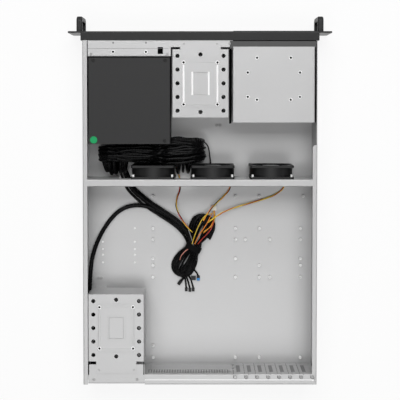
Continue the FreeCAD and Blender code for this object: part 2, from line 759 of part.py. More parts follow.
def inlet_socket(x, y, z, inward):
    """An upright three-pin inlet whose mouth opens away from inward along Y."""
    face = y - inward * 1.8
    back = y + inward * 18.0
    y_low, y_high = sorted((y, back))
    f_low, f_high = sorted((face, y))
    body = prism(
        [(x - 10, z - 13.8), (x + 10, z - 13.8), (x + 10, z + 13.8), (x - 10, z + 13.8)],
        "XZ", y_low, y_high, [3, 3, 3, 3],
    )
    plate = window(x - 11.2, x + 11.2, z - 15.5, z + 15.5, "XZ", f_low, f_high, 3)
    m_low, m_high = sorted((face - inward, y + inward * 15.5))
    mouth = prism(
        [(x - 8, z - 12), (x + 4, z - 12), (x + 8, z - 8), (x + 8, z + 8), (x + 4, z + 12), (x - 8, z + 12)],
        "XZ", m_low, m_high, 1.0,
    )
    p_low, p_high = sorted((y + inward * 6.0, y + inward * 16.5))
    pins = [
        box(x + dx - 1, x + dx + 1, p_low, p_high, z + dz - 2, z + dz + 2)
        for dx, dz in ((2.5, 0), (-2.0, 7.0), (-2.0, -7.0))
    ]
    return fuse([body.fuse(plate).cut(mouth)] + pins)


def psu_rocker():
    """The rocker of the supply's main switch, its lower end pressed in."""
    x, y, z = PSU_INLET_X, PSU_Y[0], PSU_SWITCH_Z
    outline = [
        (y + 0.2, z - 4.9),
        (y - 0.9, z),
        (y - 2.4, z + 4.9),
        (y + 2.6, z + 4.2),
        (y + 4.4, z),
        (y + 3.4, z - 4.2),
    ]
    return prism(outline, "YZ", x - 4.7, x + 4.7, [0.6, 3.0, 0.6, 0.4, 0.8, 0.4])


# Drive holders


def drive_bracket(neck, foot_x, foot_width):
    """A folded saddle for drives: its neck starts at y = 0 and its plate runs towards +y.

    The plate carries a large vent-hole grid, a 2.5-inch hole pattern and pressed ribs. Side
    cheeks hold a 3.5-inch drive, and the end wall stands on the floor with its foot.
    """
    half = BRACKET_WIDTH / 2
    y0 = neck
    y1 = neck + BRACKET_LENGTH
    cheeks = folded_sheet(
        [(half, TOP - 42), (half, TOP), (-half, TOP), (-half, TOP - 42)], "XZ", y0, y1
    )
    end = folded_sheet(
        [(y1 + FOOT_LENGTH, FLOOR + SHEET), (y1, FLOOR + SHEET), (y1, TOP), (y0 + 20, TOP)],
        "YZ", -half + 1.5, half - 1.5,
    )
    foot_clear = [
        box(-half - 1, foot_x - foot_width / 2, y1 - SHEET - 1, y1 + 30, FLOOR - 1, FLOOR + 14),
        box(foot_x + foot_width / 2, half + 1, y1 - SHEET - 1, y1 + 30, FLOOR - 1, FLOOR + 14),
    ]
    tongue = box(-37.0, 37.0, 0, y0 + 1, TOP - SHEET, TOP)
    plate = fuse([cheeks, end.cut(foot_clear), tongue])
    grooves, ridges = [], []
    for u0, u1, v0, v1 in ((-34.5, 34.5, 16.0, 108.0), (-15.0, 15.0, 41.0, 84.0)):
        width = 2.2
        grooves.append(
            window(u0, u1, y0 + v0, y0 + v1, "XY", TOP - 0.6, TOP + 1, 6).cut(
                window(u0 + width, u1 - width, y0 + v0 + width, y0 + v1 - width, "XY", TOP - 2, TOP + 2, 4)
            )
        )
        ridges.append(
            window(u0 - 0.6, u1 + 0.6, y0 + v0 - 0.6, y0 + v1 + 0.6, "XY", TOP - SHEET - 0.6, TOP - 0.8, 6.6).cut(
                window(
                    u0 + width + 0.6, u1 - width - 0.6, y0 + v0 + width + 0.6, y0 + v1 - width - 0.6,
                    "XY", TOP - 3, TOP, 3.4,
                )
            )
        )
    plate = fuse([plate] + ridges)
    rows = [y0 + 12.0 + 25.0 * i for i in range(5)]
    holes = [disc(x, y, TOP - 4, 3.5, 6) for y in rows for x in (-42.0, 42.0)]
    holes += [disc(0, y, TOP - 4, 3.5, 6) for y in (rows[0] - 2.5, rows[-1] + 2.5)]
    for x in (-SMALL_DRIVE[0] / 2, SMALL_DRIVE[0] / 2):
        for y in (y0 + 24.0, y0 + 24.0 + SMALL_DRIVE[1]):
            holes.append(disc(x, y, TOP - 4, 1.7, 6))
            holes.append(Part.makeCone(1.7, 2.5, 0.5, vec(x, y, TOP - 0.5)))
    for y in (y0 + 11.0, y0 + 52.6, y0 + 112.6):
        holes.append(window(y - 3, y + 3, TOP - 35.8, TOP - 32.2, "YZ", -half - 1, half + 1, 1.7))
    for dx in FOOT_SCREWS:
        holes.append(disc(foot_x + dx, y1 + 16.0, FLOOR - 1, 1.5, 4))
    return cut(plate, grooves + holes)


def front_drive_bracket():
    shape = drive_bracket(FRONT_NECK, *FRONT_FOOT)
    return moved(shape, BRACKET_CENTRE, BRACKET_FROM - FRONT_NECK)


def rear_drive_bracket():
    shape = drive_bracket(REAR_NECK, *REAR_FOOT)
    shape.rotate(vec(0, 0, 0), vec(0, 0, 1), 180)
    return moved(shape, REAR_BRACKET_CENTRE, REAR_BRACKET_END + REAR_NECK)


def drive_cage():
    """A folded tunnel for two 5.25-inch drives, with hole patterns in its roof."""
    x0, x1 = CAGE_X
    y0, y1 = CAGE_Y
    profile = [(x1 + 10, FLOOR + SHEET), (x1, FLOOR + SHEET), (x1, TOP), (x0, TOP), (x0, FLOOR)]
    tunnel = folded_sheet(profile, "XZ", y0, y1)
    tools = []
    for x, y in cage_holes():
        tools.append(disc(x, y, TOP - 3, 1.7, 5))
        tools.append(Part.makeCone(1.7, 2.5, 0.5, vec(x, y, TOP - 0.5)))
    for z in (11.0, 53.0):
        for y in (y0 + 20, y0 + 99.4):
            tools.append(window(y - 6, y + 6, z - 1.8, z + 1.8, "YZ", x0 - 1, x1 + 1, 1.8))
    for z0, z1 in ((20.0, 40.0), (60.0, 78.0)):
        tools.append(window(y0 + 34, y0 + 84, z0, z1, "YZ", x0 - 1, x1 + 1, 4))
    return cut(tunnel, tools)


def cage_holes():
    centre = (CAGE_X[0] + CAGE_X[1]) / 2
    places = []
    for (across, along), middle in ((SMALL_DRIVE, 86.7), (LARGE_DRIVE, 97.6)):
        places += [
            (centre + i * across / 2, middle + j * along / 2) for i in (-1, 1) for j in (-1, 1)
        ]
    return places


def case_screws():
    """The pan-head screws of the strips, the drive holders' feet, the rear cap and the slot covers."""
    screws = [
        pan_screw(slot_x(i) - 6.1, REAR_WALL_AT + 5.2, SHELF_TOP + 0.8, 2.5, 1.4)
        for i in range(SLOT_COUNT)
    ]
    for x, y in ((199.0, 41.5), (60.0, 41.5), (-53.8, 22.5)):
        screws.append(pan_screw(x, y, LOW_TOP, 2.4, 1.1))
    for x, y in ((29.4, 23.0), (-30.8, 23.0), (122.0, 622.5), (186.0, 622.5)):
        screws.append(pan_screw(x, y, TOP, 1.9, 0.5))
    for x, y in ((195.8, 640.5), (115.9, 640.5)):
        screws.append(pan_screw(x, y, LOW_TOP, 2.6, 1.1))
    front_y = BRACKET_FROM + BRACKET_LENGTH + 16.0
    rear_y = REAR_BRACKET_END - BRACKET_LENGTH - 16.0
    for dx in FOOT_SCREWS:
        front_x = BRACKET_CENTRE + FRONT_FOOT[0] + dx
        rear_x = REAR_BRACKET_CENTRE - REAR_FOOT[0] + dx
        screws.append(pan_screw(front_x, front_y, FLOOR + SHEET, 2.7, 1.6))
        screws.append(pan_screw(rear_x, rear_y, FLOOR + SHEET, 2.7, 1.6))
    return Part.makeCompound(screws)


# The rear


def slot_x(index):
    return SLOT_FIRST - SLOT_PITCH * index


def rear_panel():
    """The rear wall with its side, floor and shelf returns, and all its openings."""
    y0 = REAR_WALL_AT
    pan = folded_pan(-INNER, INNER, y0, DEPTH - 1.5, FLOOR, SHELF_TOP, SHEET)
    past = (y0 - 1, y0 + SHEET + 1)
    x0, x1, z0, z1 = IO_OPENING
    tools = [
        box(-INNER - 1, INNER + 1, 641.0, DEPTH, SHELF_TOP - 3, SHELF_TOP + 1),
        window(x0, x1, z0, z1, "XZ", *past, 1.0),
        window(
            SOCKET_X - 10.2, SOCKET_X + 10.2, SOCKET_Z - 14, SOCKET_Z + 14, "XZ", *past, 3
        ),
    ]
    for i in range(SLOT_COUNT):
        x = slot_x(i)
        tools.append(window(x - 7.2, x + 7.2, 12.0, 74.0, "XZ", *past, 0.5))
    tools += hexagon_field(-60.0, 90.0, 63.0, 78.0, 5.0, 3.8, "XZ", *past)
    tools += hexagon_field(104.0, 172.0, 18.0, 70.0, 8.6, 6.8, "XZ", *past)
    return cut(pan, tools + corner_reliefs(y0 - 1, DEPTH))


def io_plate():
    """The blank that closes the board's opening: a flat rim inside the wall and a pressed field."""
    x0, x1, z0, z1 = IO_OPENING
    thick = 0.6
    y0 = REAR_WALL_AT - thick
    rim = window(x0 - 1.6, x1 + 1.6, z0 - 1.6, z1 + 1.6, "XZ", y0, REAR_WALL_AT, 1.0)
    plug = window(x0 + 0.2, x1 - 0.2, z0 + 0.2, z1 - 0.2, "XZ", y0, REAR_WALL_AT + SHEET + 0.6, 1.0)
    hollow = window(
        x0 + 0.2 + thick, x1 - 0.2 - thick, z0 + 0.2 + thick, z1 - 0.2 - thick,
        "XZ", y0 - 1, REAR_WALL_AT + SHEET, 0.6,
    )
    springs = [
        box(x0 + 1.0, x0 + 5.0, REAR_WALL_AT - 2.4, REAR_WALL_AT + SHEET + 0.3, z, z + 7.0)
        for z in (z0 + 4.0, z1 - 14.0)
    ]
    return fuse([rim, plug]).cut(hollow).fuse(springs)


def rear_rail():
    """The bar across the very back that carries the lid's rear edge."""
    y0, y1 = 642.6, DEPTH
    profile = [(y0, TOP), (y1, TOP), (y1, TOP - 13)]
    return folded_sheet(profile[::-1], "YZ", -FLANGE_EDGE, CAP_X[0] - 0.4)


def rear_cap():
    """The plate over the rear shelf that the rear drive bracket hangs from."""
    profile = [(612.7, LOW_TOP), (648.4, LOW_TOP), (648.4, LOW_TOP - 13)]
    plate = folded_sheet(profile[::-1], "YZ", CAP_X[0], CAP_X[1])
    return plate


def slot_cover(index):
    """A low-profile slot cover: blade, pressed field, bottom tongue and screw tab."""
    x = slot_x(index)
    thick = 0.8
    y1 = REAR_WALL_AT
    profile = [(y1 - thick, 8.0), (y1 - thick, SHELF_TOP + thick), (y1 + 8.6, SHELF_TOP + thick)]
    blade = folded_sheet(
        [(y, z) for y, z in profile][::-1], "YZ", x - 9.2, x + 9.2, thick, 0.3
    )
    tongue = prism(
        [(x - 9.2, 8.4), (x - 5, 3.0), (x + 5, 3.0), (x + 9.2, 8.4)], "XZ", y1 - thick, y1, 0
    )
    field_out = window(x - 5.2, x + 5.2, 18.0, 68.0, "XZ", y1 - 0.4, y1 + 0.5, 2)
    field_in = window(x - 4.6, x + 4.6, 18.6, 67.4, "XZ", y1 - thick - 1, y1 - 0.3, 1.4)
    notch = disc(x - 6.1, y1 + 5.2, SHELF_TOP - 1, 1.9, 4)
    return fuse([blade, tongue, field_out]).cut([field_in, notch])


def rear_ac_socket():
    """The case's own inlet, its mouth to the rear."""
    return inlet_socket(SOCKET_X, REAR_WALL_AT + SHEET, SOCKET_Z, -1)


def standoffs():
    """Threaded standoffs of the board patterns, and low fixing studs in the side field."""
    posts = []
    for x, y in standoff_places():
        post = hexagon_prism(x, y, FLOOR, FLOOR + STANDOFF_HEIGHT, 5.0)
        posts.append(post.cut(disc(x, y, FLOOR + 2, 1.3, STANDOFF_HEIGHT)))
    posts += [disc(x, y, FLOOR, 2.0, 0.8) for x, y in stud_places()]
    return Part.makeCompound(posts)


def standoff_places():
    """Each board column with the rows that have a post in it."""
    places = []
    for column, rows in BOARD_COLUMNS.items():
        places += [(BOARD_ORIGIN[0] - column, BOARD_ORIGIN[1] - row) for row in rows]
    return places


def stud_places():
    """The side field that takes small boards and adapters."""
    places = [(x, BOARD_ORIGIN[1] - row) for x in (186.0, 125.0) for row in (182.8, 197.6, 208.4, 222.4)]
    return places + [(125.0, BOARD_ORIGIN[1] - DEEP_ROW)]


# Cords. Each route is a short list of points chosen by hand, from one end to the other.

AC_ROUTE = [
    (196.0, 592.0, 31.0),
    (196.0, 556.0, 31.0),
    (209.0, 510.0, 30.0),
    (208.8, 462.0, 26.0),
    (204.5, 416.0, 14.0),
    (184.0, 372.0, 6.5),
    (150.0, 337.5, 6.0),
    (114.0, 333.5, 6.5),
    (82.0, 350.0, 6.2),
    (56.0, 367.0, 6.0),
    (34.0, 381.0, 6.0),
    (10.0, 388.0, 6.2),
]
TRUNK_ROUTES = [
    [
        (150.0, 238.0, 6.0),
        (137.0, 266.0, 6.2),
        (128.0, 292.0, 6.0),
        (97.0, 318.0, 5.5),
        (66.0, 334.0, 7.0),
        (36.0, 348.0, 14.0),
        (17.0, 366.0, 19.0),
        (9.5, 384.0, 20.5),
        (11.5, 400.0, 20.0),
    ],
    [
        (156.0, 238.0, 6.0),
        (142.5, 268.0, 6.2),
        (134.5, 294.0, 6.0),
        (101.5, 322.5, 5.5),
        (68.5, 340.0, 7.0),
        (38.0, 354.5, 13.0),
        (20.0, 371.0, 16.0),
        (15.0, 386.0, 16.5),
        (17.0, 401.0, 16.5),
    ],
    [
        (161.0, 240.0, 7.0),
        (148.5, 270.0, 6.2),
        (140.5, 296.0, 6.0),
        (106.5, 327.5, 5.5),
        (71.5, 346.0, 7.0),
        (40.5, 361.0, 10.5),
        (24.0, 376.0, 13.0),
        (20.5, 389.0, 13.6),
        (22.0, 402.0, 13.6),
    ],
    [
        (153.0, 238.0, 12.0),
        (140.0, 267.0, 12.0),
        (131.5, 293.0, 12.0),
        (99.5, 320.5, 11.3),
        (67.5, 337.2, 13.0),
        (37.0, 351.5, 20.0),
        (20.5, 368.5, 23.5),
        (14.0, 385.0, 25.0),
        (15.6, 396.0, 23.6),
    ],
]
FAN_ROUTES = [
    [
        (44.5, 258.0, 8.0),
        (37.0, 276.0, 4.8),
        (37.5, 296.0, 3.2),
        (45.0, 314.0, 8.0),
        (45.5, 331.0, 19.0),
        (36.0, 350.0, 26.5),
        (20.0, 364.0, 27.0),
        (6.0, 372.0, 25.0),
    ],
    [
        (-60.5, 256.0, 2.9),
        (-60.2, 274.0, 2.9),
        (-58.5, 294.0, 3.2),
        (-46.0, 309.0, 7.0),
        (-30.0, 322.0, 14.0),
        (-16.0, 337.0, 21.0),
        (-6.0, 354.0, 22.0),
    ],
    [
        (-165.3, 256.0, 2.9),
        (-165.0, 274.0, 2.9),
        (-162.0, 293.0, 3.1),
        (-142.0, 308.0, 4.0),
        (-113.0, 317.5, 6.0),
        (-80.0, 326.0, 9.0),
        (-54.0, 334.0, 13.0),
        (-33.0, 344.0, 19.0),
        (-14.0, 358.0, 22.0),
    ],
]
BOARD_ROUTE = [
    (-26.6, 336.0, 6.0),
    (-28.5, 346.0, 10.0),
    (-26.0, 358.0, 20.0),
    (-16.0, 370.0, 24.0),
    (-4.0, 378.0, 22.0),
]
PANEL_ROUTES = [
    [(26.0, 438.0, 10.0), (14.0, 448.0, 7.0), (6.0, 456.0, 4.0), (3.5, 462.0, 3.2)],
    [(34.0, 448.0, 9.0), (26.0, 462.0, 6.0), (22.5, 474.0, 4.0), (19.5, 486.0, 3.4)],
]


def tangent_route(points):
    """The route's edges: straight runs joined by arcs that touch both, and the tightest radius."""
    corners = [vec(*p) for p in points]
    edges = []
    start = corners[0]
    tightest = 1e9
    for before, here, after in zip(corners, corners[1:], corners[2:]):
        back = (before - here).normalize()
        ahead = (after - here).normalize()
        half_turn = (math.pi - back.getAngle(ahead)) / 2
        reach = 0.45 * min((before - here).Length, (after - here).Length)
        radius = reach / math.tan(half_turn)
        tightest = min(tightest, radius)
        crown = (back + ahead).normalize() * (radius / math.cos(half_turn) - radius)
        edges.append(Part.LineSegment(start, here + back * reach).toShape())
        edges.append(Part.Arc(here + back * reach, here + crown, here + ahead * reach).toShape())
        start = here + ahead * reach
    edges.append(Part.LineSegment(start, corners[-1]).toShape())
    return edges, tightest


def cord(name, points, diameter):
    """A round cord along a route, checked against its section times its length."""
    edges, tightest = tangent_route(points)
    spine = Part.Wire(edges)
    heading = vec(*points[1]) - vec(*points[0])
    section = Part.Wire(Part.makeCircle(diameter / 2, vec(*points[0]), heading))
    tube = spine.makePipeShell([section], True, True)
    expected = math.pi * diameter**2 / 4 * spine.Length
    print(
        name,
        "length", round(spine.Length, 1),
        "tightest radius", round(tightest, 1),
        "volume against section", round(tube.Volume / expected, 4),
    )
    save(name, tube)
    return tube


def hank(stations, grow=0.0, fixed=None):
    """A folded bundle's outer shape: ellipses along its run, one a station, each larger by grow.

    The ellipses stand square to the run, or all square to the fixed direction.
    """
    rings = []
    for i, (x, y, half_width, half_height) in enumerate(stations):
        z = BUNDLE_BASE + half_height
        half_width += grow
        half_height += grow
        ahead = stations[min(i + 1, len(stations) - 1)]
        behind = stations[max(i - 1, 0)]
        heading = fixed or vec(ahead[0] - behind[0], ahead[1] - behind[1], 0).normalize()
        across = vec(0, 0, 1).cross(heading)
        wide = (half_width, vec(x, y, z) + across * half_width)
        high = (half_height, vec(x, y, z) + vec(0, 0, half_height))
        longer, shorter = (wide, high) if half_width >= half_height else (high, wide)
        ellipse = Part.Ellipse(longer[1], shorter[1], vec(x, y, z))
        rings.append(Part.Wire(ellipse.toShape()))
    return Part.makeLoft(rings, True, True)


# Across the floor, then half width and half height
TIED_STATIONS = [
    (-7.0, 345.0, 9.0, 5.0),
    (-6.0, 354.0, 22.0, 10.5),
    (-4.0, 374.0, 26.0, 13.5),
    (5.0, 395.0, 19.0, 13.5),
    (8.6, 401.8, 15.0, 12.0),
    (15.4, 414.2, 15.0, 12.0),
    (21.0, 424.0, 21.0, 11.0),
    (33.0, 444.0, 25.0, 9.0),
    (41.0, 459.0, 18.0, 6.5),
    (45.0, 467.0, 7.0, 4.0),
]
FRONT_STATIONS = [
    (197.0, 222.0, 7.0, 12.0),
    (188.0, 224.0, 14.5, 24.0),
    (170.0, 228.0, 19.5, 30.0),
    (150.0, 236.0, 27.5, 32.0),
    (138.0, 236.0, 27.5, 32.0),
    (129.5, 227.0, 17.5, 33.0),
    (110.0, 225.5, 17.0, 33.0),
    (60.0, 225.5, 17.0, 34.0),
    (46.0, 222.0, 19.0, 34.0),
    (32.0, 227.0, 32.0, 34.0),
    (19.0, 218.0, 23.0, 33.0),
    (2.0, 215.0, 24.0, 30.0),
    (-12.0, 219.0, 12.0, 18.0),
]
TIE_AT = (12.0, 408.0, 15.0, 12.0)  # the strap's place, and the bundle's half width and height there
TIE_HEADING = (16.0, 29.0)
TIE_HALF_WIDTH = 6.5
TIE_SHEET = 1.0


def cable_tie():
    """The hook-and-loop strap round the tied bundle's waist, its free end standing out at the side."""
    x, y, half_width, half_height = TIE_AT
    heading = vec(*TIE_HEADING, 0).normalize()
    across = vec(0, 0, 1).cross(heading)

    def ring(reach, grow):
        ends = [
            (x + heading.x * along, y + heading.y * along, half_width, half_height)
            for along in (-reach, reach)
        ]
        return hank(ends, grow)

    strap = ring(TIE_HALF_WIDTH, 0.4 + TIE_SHEET).cut(ring(TIE_HALF_WIDTH + 2, 0.4))
    flap = box(-TIE_HALF_WIDTH, TIE_HALF_WIDTH, -6.0, 1.2, 0, 1.4)
    flap.rotate(vec(0, 0, 0), vec(0, 0, 1), math.degrees(math.atan2(heading.y, heading.x)))
    flap.translate(vec(x, y, BUNDLE_BASE + half_height) - across * (half_width + 1.6))
    return strap.fuse(flap)


def cord_ends():
    """What the cords end in: the mains relief, the white board plug and the small plugs."""
    x, y, z = AC_ROUTE[0]
    socket_back = REAR_WALL_AT + SHEET - 18.0
    relief = Part.makeCone(AC_DIAMETER / 2 + 0.4, 7.0, socket_back - y, vec(x, y, z), vec(0, 1, 0))
    x, y, z = BOARD_ROUTE[0]
    plug = box(x - 4.8, x + 4.8, y - 9.0, y, FLOOR, FLOOR + 9.0)
    keys = [box(x + dx - 1.1, x + dx + 1.1, y - 10.0, y - 4.0, z + dz - 1.1, z + dz + 1.1)
            for dx in (-2.3, 2.3) for dz in (-2.2, 2.2)]
    latch = box(x - 1.6, x + 1.6, y - 7.5, y - 1.0, FLOOR + 9.0, FLOOR + 10.6)
    plug = plug.cut(keys).fuse(latch)
    x, y, z = PANEL_ROUTES[1][-1]
    small = [box(x + dx - 2.7, x + dx + 2.7, y + dy, y + dy + 7.0, FLOOR, FLOOR + 2.9)
             for dx, dy in ((6.8, -1.0), (0.0, 0.0), (-6.4, -0.8))]
    x, y, z = PANEL_ROUTES[0][-1]
    small.append(box(x - 3.4, x + 3.0, y, y + 7.0, FLOOR, FLOOR + 3.4))
    return relief, plug, Part.makeCompound(small)


def drive_plug():
    """A flat black drive power plug that lies against the tied bundle."""
    body = box(8.0, 17.0, 462.5, 470.0, FLOOR, FLOOR + 5.0)
    slot = box(9.6, 15.4, 468.0, 471.0, FLOOR + 1.4, FLOOR + 3.4)
    return body.cut(slot)


def save_cords():
    cord("ac_lead", AC_ROUTE, AC_DIAMETER)
    for number, route in enumerate(TRUNK_ROUTES, 1):
        cord("trunk_lead_" + str(number), route, LEAD_DIAMETER)
    for number, route in enumerate(FAN_ROUTES, 1):
        cord("fan_lead_" + str(number), route, WIRE_DIAMETER)
    cord("board_lead", BOARD_ROUTE, WIRE_DIAMETER)
    for number, route in enumerate(PANEL_ROUTES, 1):
        cord("panel_lead_" + str(number), route, WIRE_DIAMETER)
    save("hank_tied", hank(TIED_STATIONS))
    save("hank_front", hank(FRONT_STATIONS, fixed=vec(-1, 0, 0)))
    save("cable_tie", cable_tie())
    relief, plug, small = cord_ends()
    save("ac_lead_relief", relief)
    save("board_plug", plug)
    save("small_plugs", small)
    save("drive_plug", drive_plug())


def main():
    save("chassis_tub", chassis_tub())
    save("front_bulkhead", front_bulkhead())
    save("front_panel", front_panel())
    for name, side in (("left", -1), ("right", 1)):
        save("ear_" + name, rack_ear(side))
        save("handle_" + name, handle(side))
    save("bay_cover_lower", bay_cover(0))
    save("bay_cover_upper", bay_cover(1))
    save("power_button", push_button(POWER_AT, POWER_RADIUS))
    save("reset_button", push_button(RESET_AT, RESET_RADIUS))
    save("control_board", control_board())
    save("status_lights", status_lights())
    save("usb_sockets", usb_sockets())
    frame = fan_frame()
    rotor = fan_rotor()
    for number, x in enumerate(FAN_CENTRES, 1):
        place = (x, FAN_WALL_AT - FAN_DEPTH, FAN_BASE + FAN_SIZE / 2)
        save("fan_frame_" + str(number), moved(frame, *place))
        save("fan_rotor_" + str(number), moved(rotor, *place))
    save("psu_fan_frame", moved(frame, PSU_FAN_X, PSU_Y[0] + PSU_SHEET, PSU_FAN_Z))
    save("psu_fan_rotor", moved(rotor, PSU_FAN_X, PSU_Y[0] + PSU_SHEET, PSU_FAN_Z))
    save("fan_wall", fan_wall())
    save("fan_screws", fan_screws())
    save("psu_case", psu_case())
    save("psu_cover", psu_cover())
    save("psu_bracket", psu_bracket())
    save("psu_inlet", psu_inlet())
    save("psu_rocker", psu_rocker())
    save("black_screws", black_screws())
    save("psu_sticker", disc(194.7, 198.5, PSU_TOP, 6.5, 0.3))
    save("drive_bracket_front", front_drive_bracket())
    save("drive_bracket_rear", rear_drive_bracket())
    save("drive_cage", drive_cage())
    save("case_screws", case_screws())
    save("rear_panel", rear_panel())
    save("io_plate", io_plate())
    save("rear_rail", rear_rail())
    save("rear_cap", rear_cap())
    save("slot_covers", Part.makeCompound([slot_cover(i) for i in range(SLOT_COUNT)]))
    save("rear_ac_socket", rear_ac_socket())
    save("standoffs", standoffs())
    save_cords()


main()
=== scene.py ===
"""Looks of an open two-unit rackmount server case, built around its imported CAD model.

Every length is in metres, in the model's own frame: +Z is up and the front panel faces -Y.
"""

from __future__ import annotations

import logging
import math
import random
from dataclasses import dataclass, field
from enum import Enum
from typing import Iterable, Sequence

import bmesh
import bpy
from mathutils import Matrix, Vector

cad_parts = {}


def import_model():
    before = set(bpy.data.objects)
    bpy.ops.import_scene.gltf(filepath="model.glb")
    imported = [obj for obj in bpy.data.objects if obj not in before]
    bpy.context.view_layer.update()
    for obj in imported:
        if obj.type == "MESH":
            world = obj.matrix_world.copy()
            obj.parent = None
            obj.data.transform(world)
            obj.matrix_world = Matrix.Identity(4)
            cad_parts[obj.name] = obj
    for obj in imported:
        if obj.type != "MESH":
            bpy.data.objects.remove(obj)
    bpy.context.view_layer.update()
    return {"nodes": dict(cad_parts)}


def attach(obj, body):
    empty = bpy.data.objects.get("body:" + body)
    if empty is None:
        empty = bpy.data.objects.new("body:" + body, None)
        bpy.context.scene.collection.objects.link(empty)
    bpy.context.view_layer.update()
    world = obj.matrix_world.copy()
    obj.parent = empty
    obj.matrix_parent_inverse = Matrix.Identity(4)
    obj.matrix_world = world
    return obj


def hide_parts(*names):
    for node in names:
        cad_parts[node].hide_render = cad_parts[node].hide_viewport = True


LOG = logging.getLogger("server_case")
Point = tuple[float, float, float]
Colour = tuple[float, float, float]
Outline = Sequence[tuple[float, float]]
UP = Vector((0.0, 0.0, 1.0))
BODY = "case"  # every cord and new piece rides on it
FRONT_REACH = 0.311  # the front panel's face stands this far before the origin


class Lay(Enum):
    """How a cord lies."""

    LOOSE = "loose"
    COILED = "coiled"


class FarEnd(Enum):
    """What a cord ends in."""

    INTO_OBJECT = "object"
    CONNECTOR = "connector"


class Slot(Enum):
    """The material slots of the part's record."""

    GALVANISED = "galvanised_steel"
    BRIGHT = "bright_steel"
    POWDER_COAT = "black_powder_coat"
    CHARCOAL = "charcoal_paint"
    PLASTIC = "black_plastic"
    BUTTON = "button_metal"
    BLACK_SCREW = "black_screw"
    BOARD = "circuit_board"
    LENS = "light_lens"
    LABEL = "green_label"
    CABLE = "black_cable"
    WIRE = "coloured_wire"
    NYLON = "white_nylon"


# Shader nodes


class Value:
    """A number that a shader node gives, with Python's own operators."""

    def __init__(self, shader: "Shader", socket: bpy.types.NodeSocket) -> None:
        """Wrap one output socket of a shader."""
        self.shader = shader
        self.socket = socket

    def _math(self, operation: str, first: object, second: object) -> "Value":
        """Add one Math node.

        Args:
            operation: the node's operation.
            first: its first input, a number or a Value.
            second: its second input.

        Returns:
            The node's result.
        """
        node = self.shader.add("ShaderNodeMath", {"operation": operation}, {0: first, 1: second})
        return Value(self.shader, node.outputs[0])

    def __add__(self, other: object) -> "Value":
        """Return self + other."""
        return self._math("ADD", self, other)

    __radd__ = __add__

    def __mul__(self, other: object) -> "Value":
        """Return self * other."""
        return self._math("MULTIPLY", self, other)

    __rmul__ = __mul__

    def __sub__(self, other: object) -> "Value":
        """Return self - other."""
        return self._math("SUBTRACT", self, other)

    def __rsub__(self, other: object) -> "Value":
        """Return other - self."""
        return self._math("SUBTRACT", other, self)

    def clamped(self) -> "Value":
        """Return the value held between 0 and 1."""
        return self._math("MINIMUM", self._math("MAXIMUM", self, 0.0), 1.0)


class Shader:
    """One material's node tree, emptied and ready to build."""

    def __init__(self, name: str) -> None:
        """Start a material.

        Args:
            name: its name.
        """
        self.material = bpy.data.materials.new(name)
        self.material.use_nodes = True
        self.tree = self.material.node_tree
        self.tree.nodes.clear()
        self.output = self.tree.nodes.new("ShaderNodeOutputMaterial")

    def add(
        self, kind: str, settings: dict | None = None, sockets: dict | None = None
    ) -> bpy.types.Node:
        """Add any node.

        Args:
            kind: the node's type.
            settings: attributes set before the sockets, "stops" for a ramp's (place, colour) pairs.
            sockets: values, Values or output sockets by input name or index.

        Returns:
            The node.
        """
        node = self.tree.nodes.new(kind)
        for key, value in (settings or {}).items():
            if key == "stops":
                elements = node.color_ramp.elements
                while len(elements) < len(value):
                    elements.new(0.5)
                for element, (place, colour) in zip(elements, value):
                    element.position = place
                    element.color = (*colour, 1.0)
            else:
                setattr(node, key, value)
        for key, value in (sockets or {}).items():
            target = node.inputs[key]
            if isinstance(value, Value):
                value = value.socket
            if isinstance(value, bpy.types.NodeSocket):
                self.tree.links.new(value, target)
            else:
                target.default_value = value
        return node

    def place(self, scale: Point = (1.0, 1.0, 1.0)) -> bpy.types.NodeSocket:
        """Return the object's own coordinates in metres, each axis scaled."""
        coords = self.add("ShaderNodeTexCoord")
        node = self.add("ShaderNodeMapping", None, {"Vector": coords.outputs["Object"], "Scale": scale})
        return node.outputs["Vector"]

    def noise(self, scale: float, detail: float = 2.0, stretch: Point = (1.0, 1.0, 1.0)) -> Value:
        """Return soft noise from 0 to 1.

        Args:
            scale: its features per metre.
            detail: how many finer layers it has.
            stretch: extra scale on each axis.

        Returns:
            The noise's value.
        """
        node = self.add(
            "ShaderNodeTexNoise", None, {"Vector": self.place(stretch), "Scale": scale, "Detail": detail}
        )
        return Value(self, node.outputs["Fac"])

    def cells(self, scale: float) -> Value:
        """Return a random number for each cell of a crystal-like pattern."""
        pattern = self.add("ShaderNodeTexVoronoi", None, {"Vector": self.place(), "Scale": scale})
        channels = self.add("ShaderNodeSeparateColor", None, {0: pattern.outputs["Color"]})
        return Value(self, channels.outputs[0])

    def blend(self, factor: object, first: Colour, second: Colour) -> bpy.types.NodeSocket:
        """Blend two colours.

        Args:
            factor: how far from the first to the second, a number or a Value.
            first: the colour at 0.
            second: the colour at 1.

        Returns:
            The blend's colour socket.
        """
        node = self.add(
            "ShaderNodeMix",
            {"data_type": "RGBA"},
            {"Factor": factor, "A": (*first, 1.0), "B": (*second, 1.0)},
        )
        return node.outputs["Result"]

    def bump(self, height: Value, distance: float) -> bpy.types.NodeSocket:
        """Return a normal that a height of that many metres disturbs."""
        node = self.add("ShaderNodeBump", None, {"Height": height, "Distance": distance, "Strength": 1.0})
        return node.outputs["Normal"]

    def surface(self, sockets: dict) -> bpy.types.Material:
        """Finish the material with one Principled shader.

        Args:
            sockets: its inputs by name.

        Returns:
            The material.
        """
        node = self.add("ShaderNodeBsdfPrincipled", None, sockets)
        self.tree.links.new(node.outputs["BSDF"], self.output.inputs["Surface"])
        return self.material


def shade(colour: Colour, factor: float) -> Colour:
    """Return the colour made lighter or darker."""
    return tuple(channel * factor for channel in colour)


# Finishes


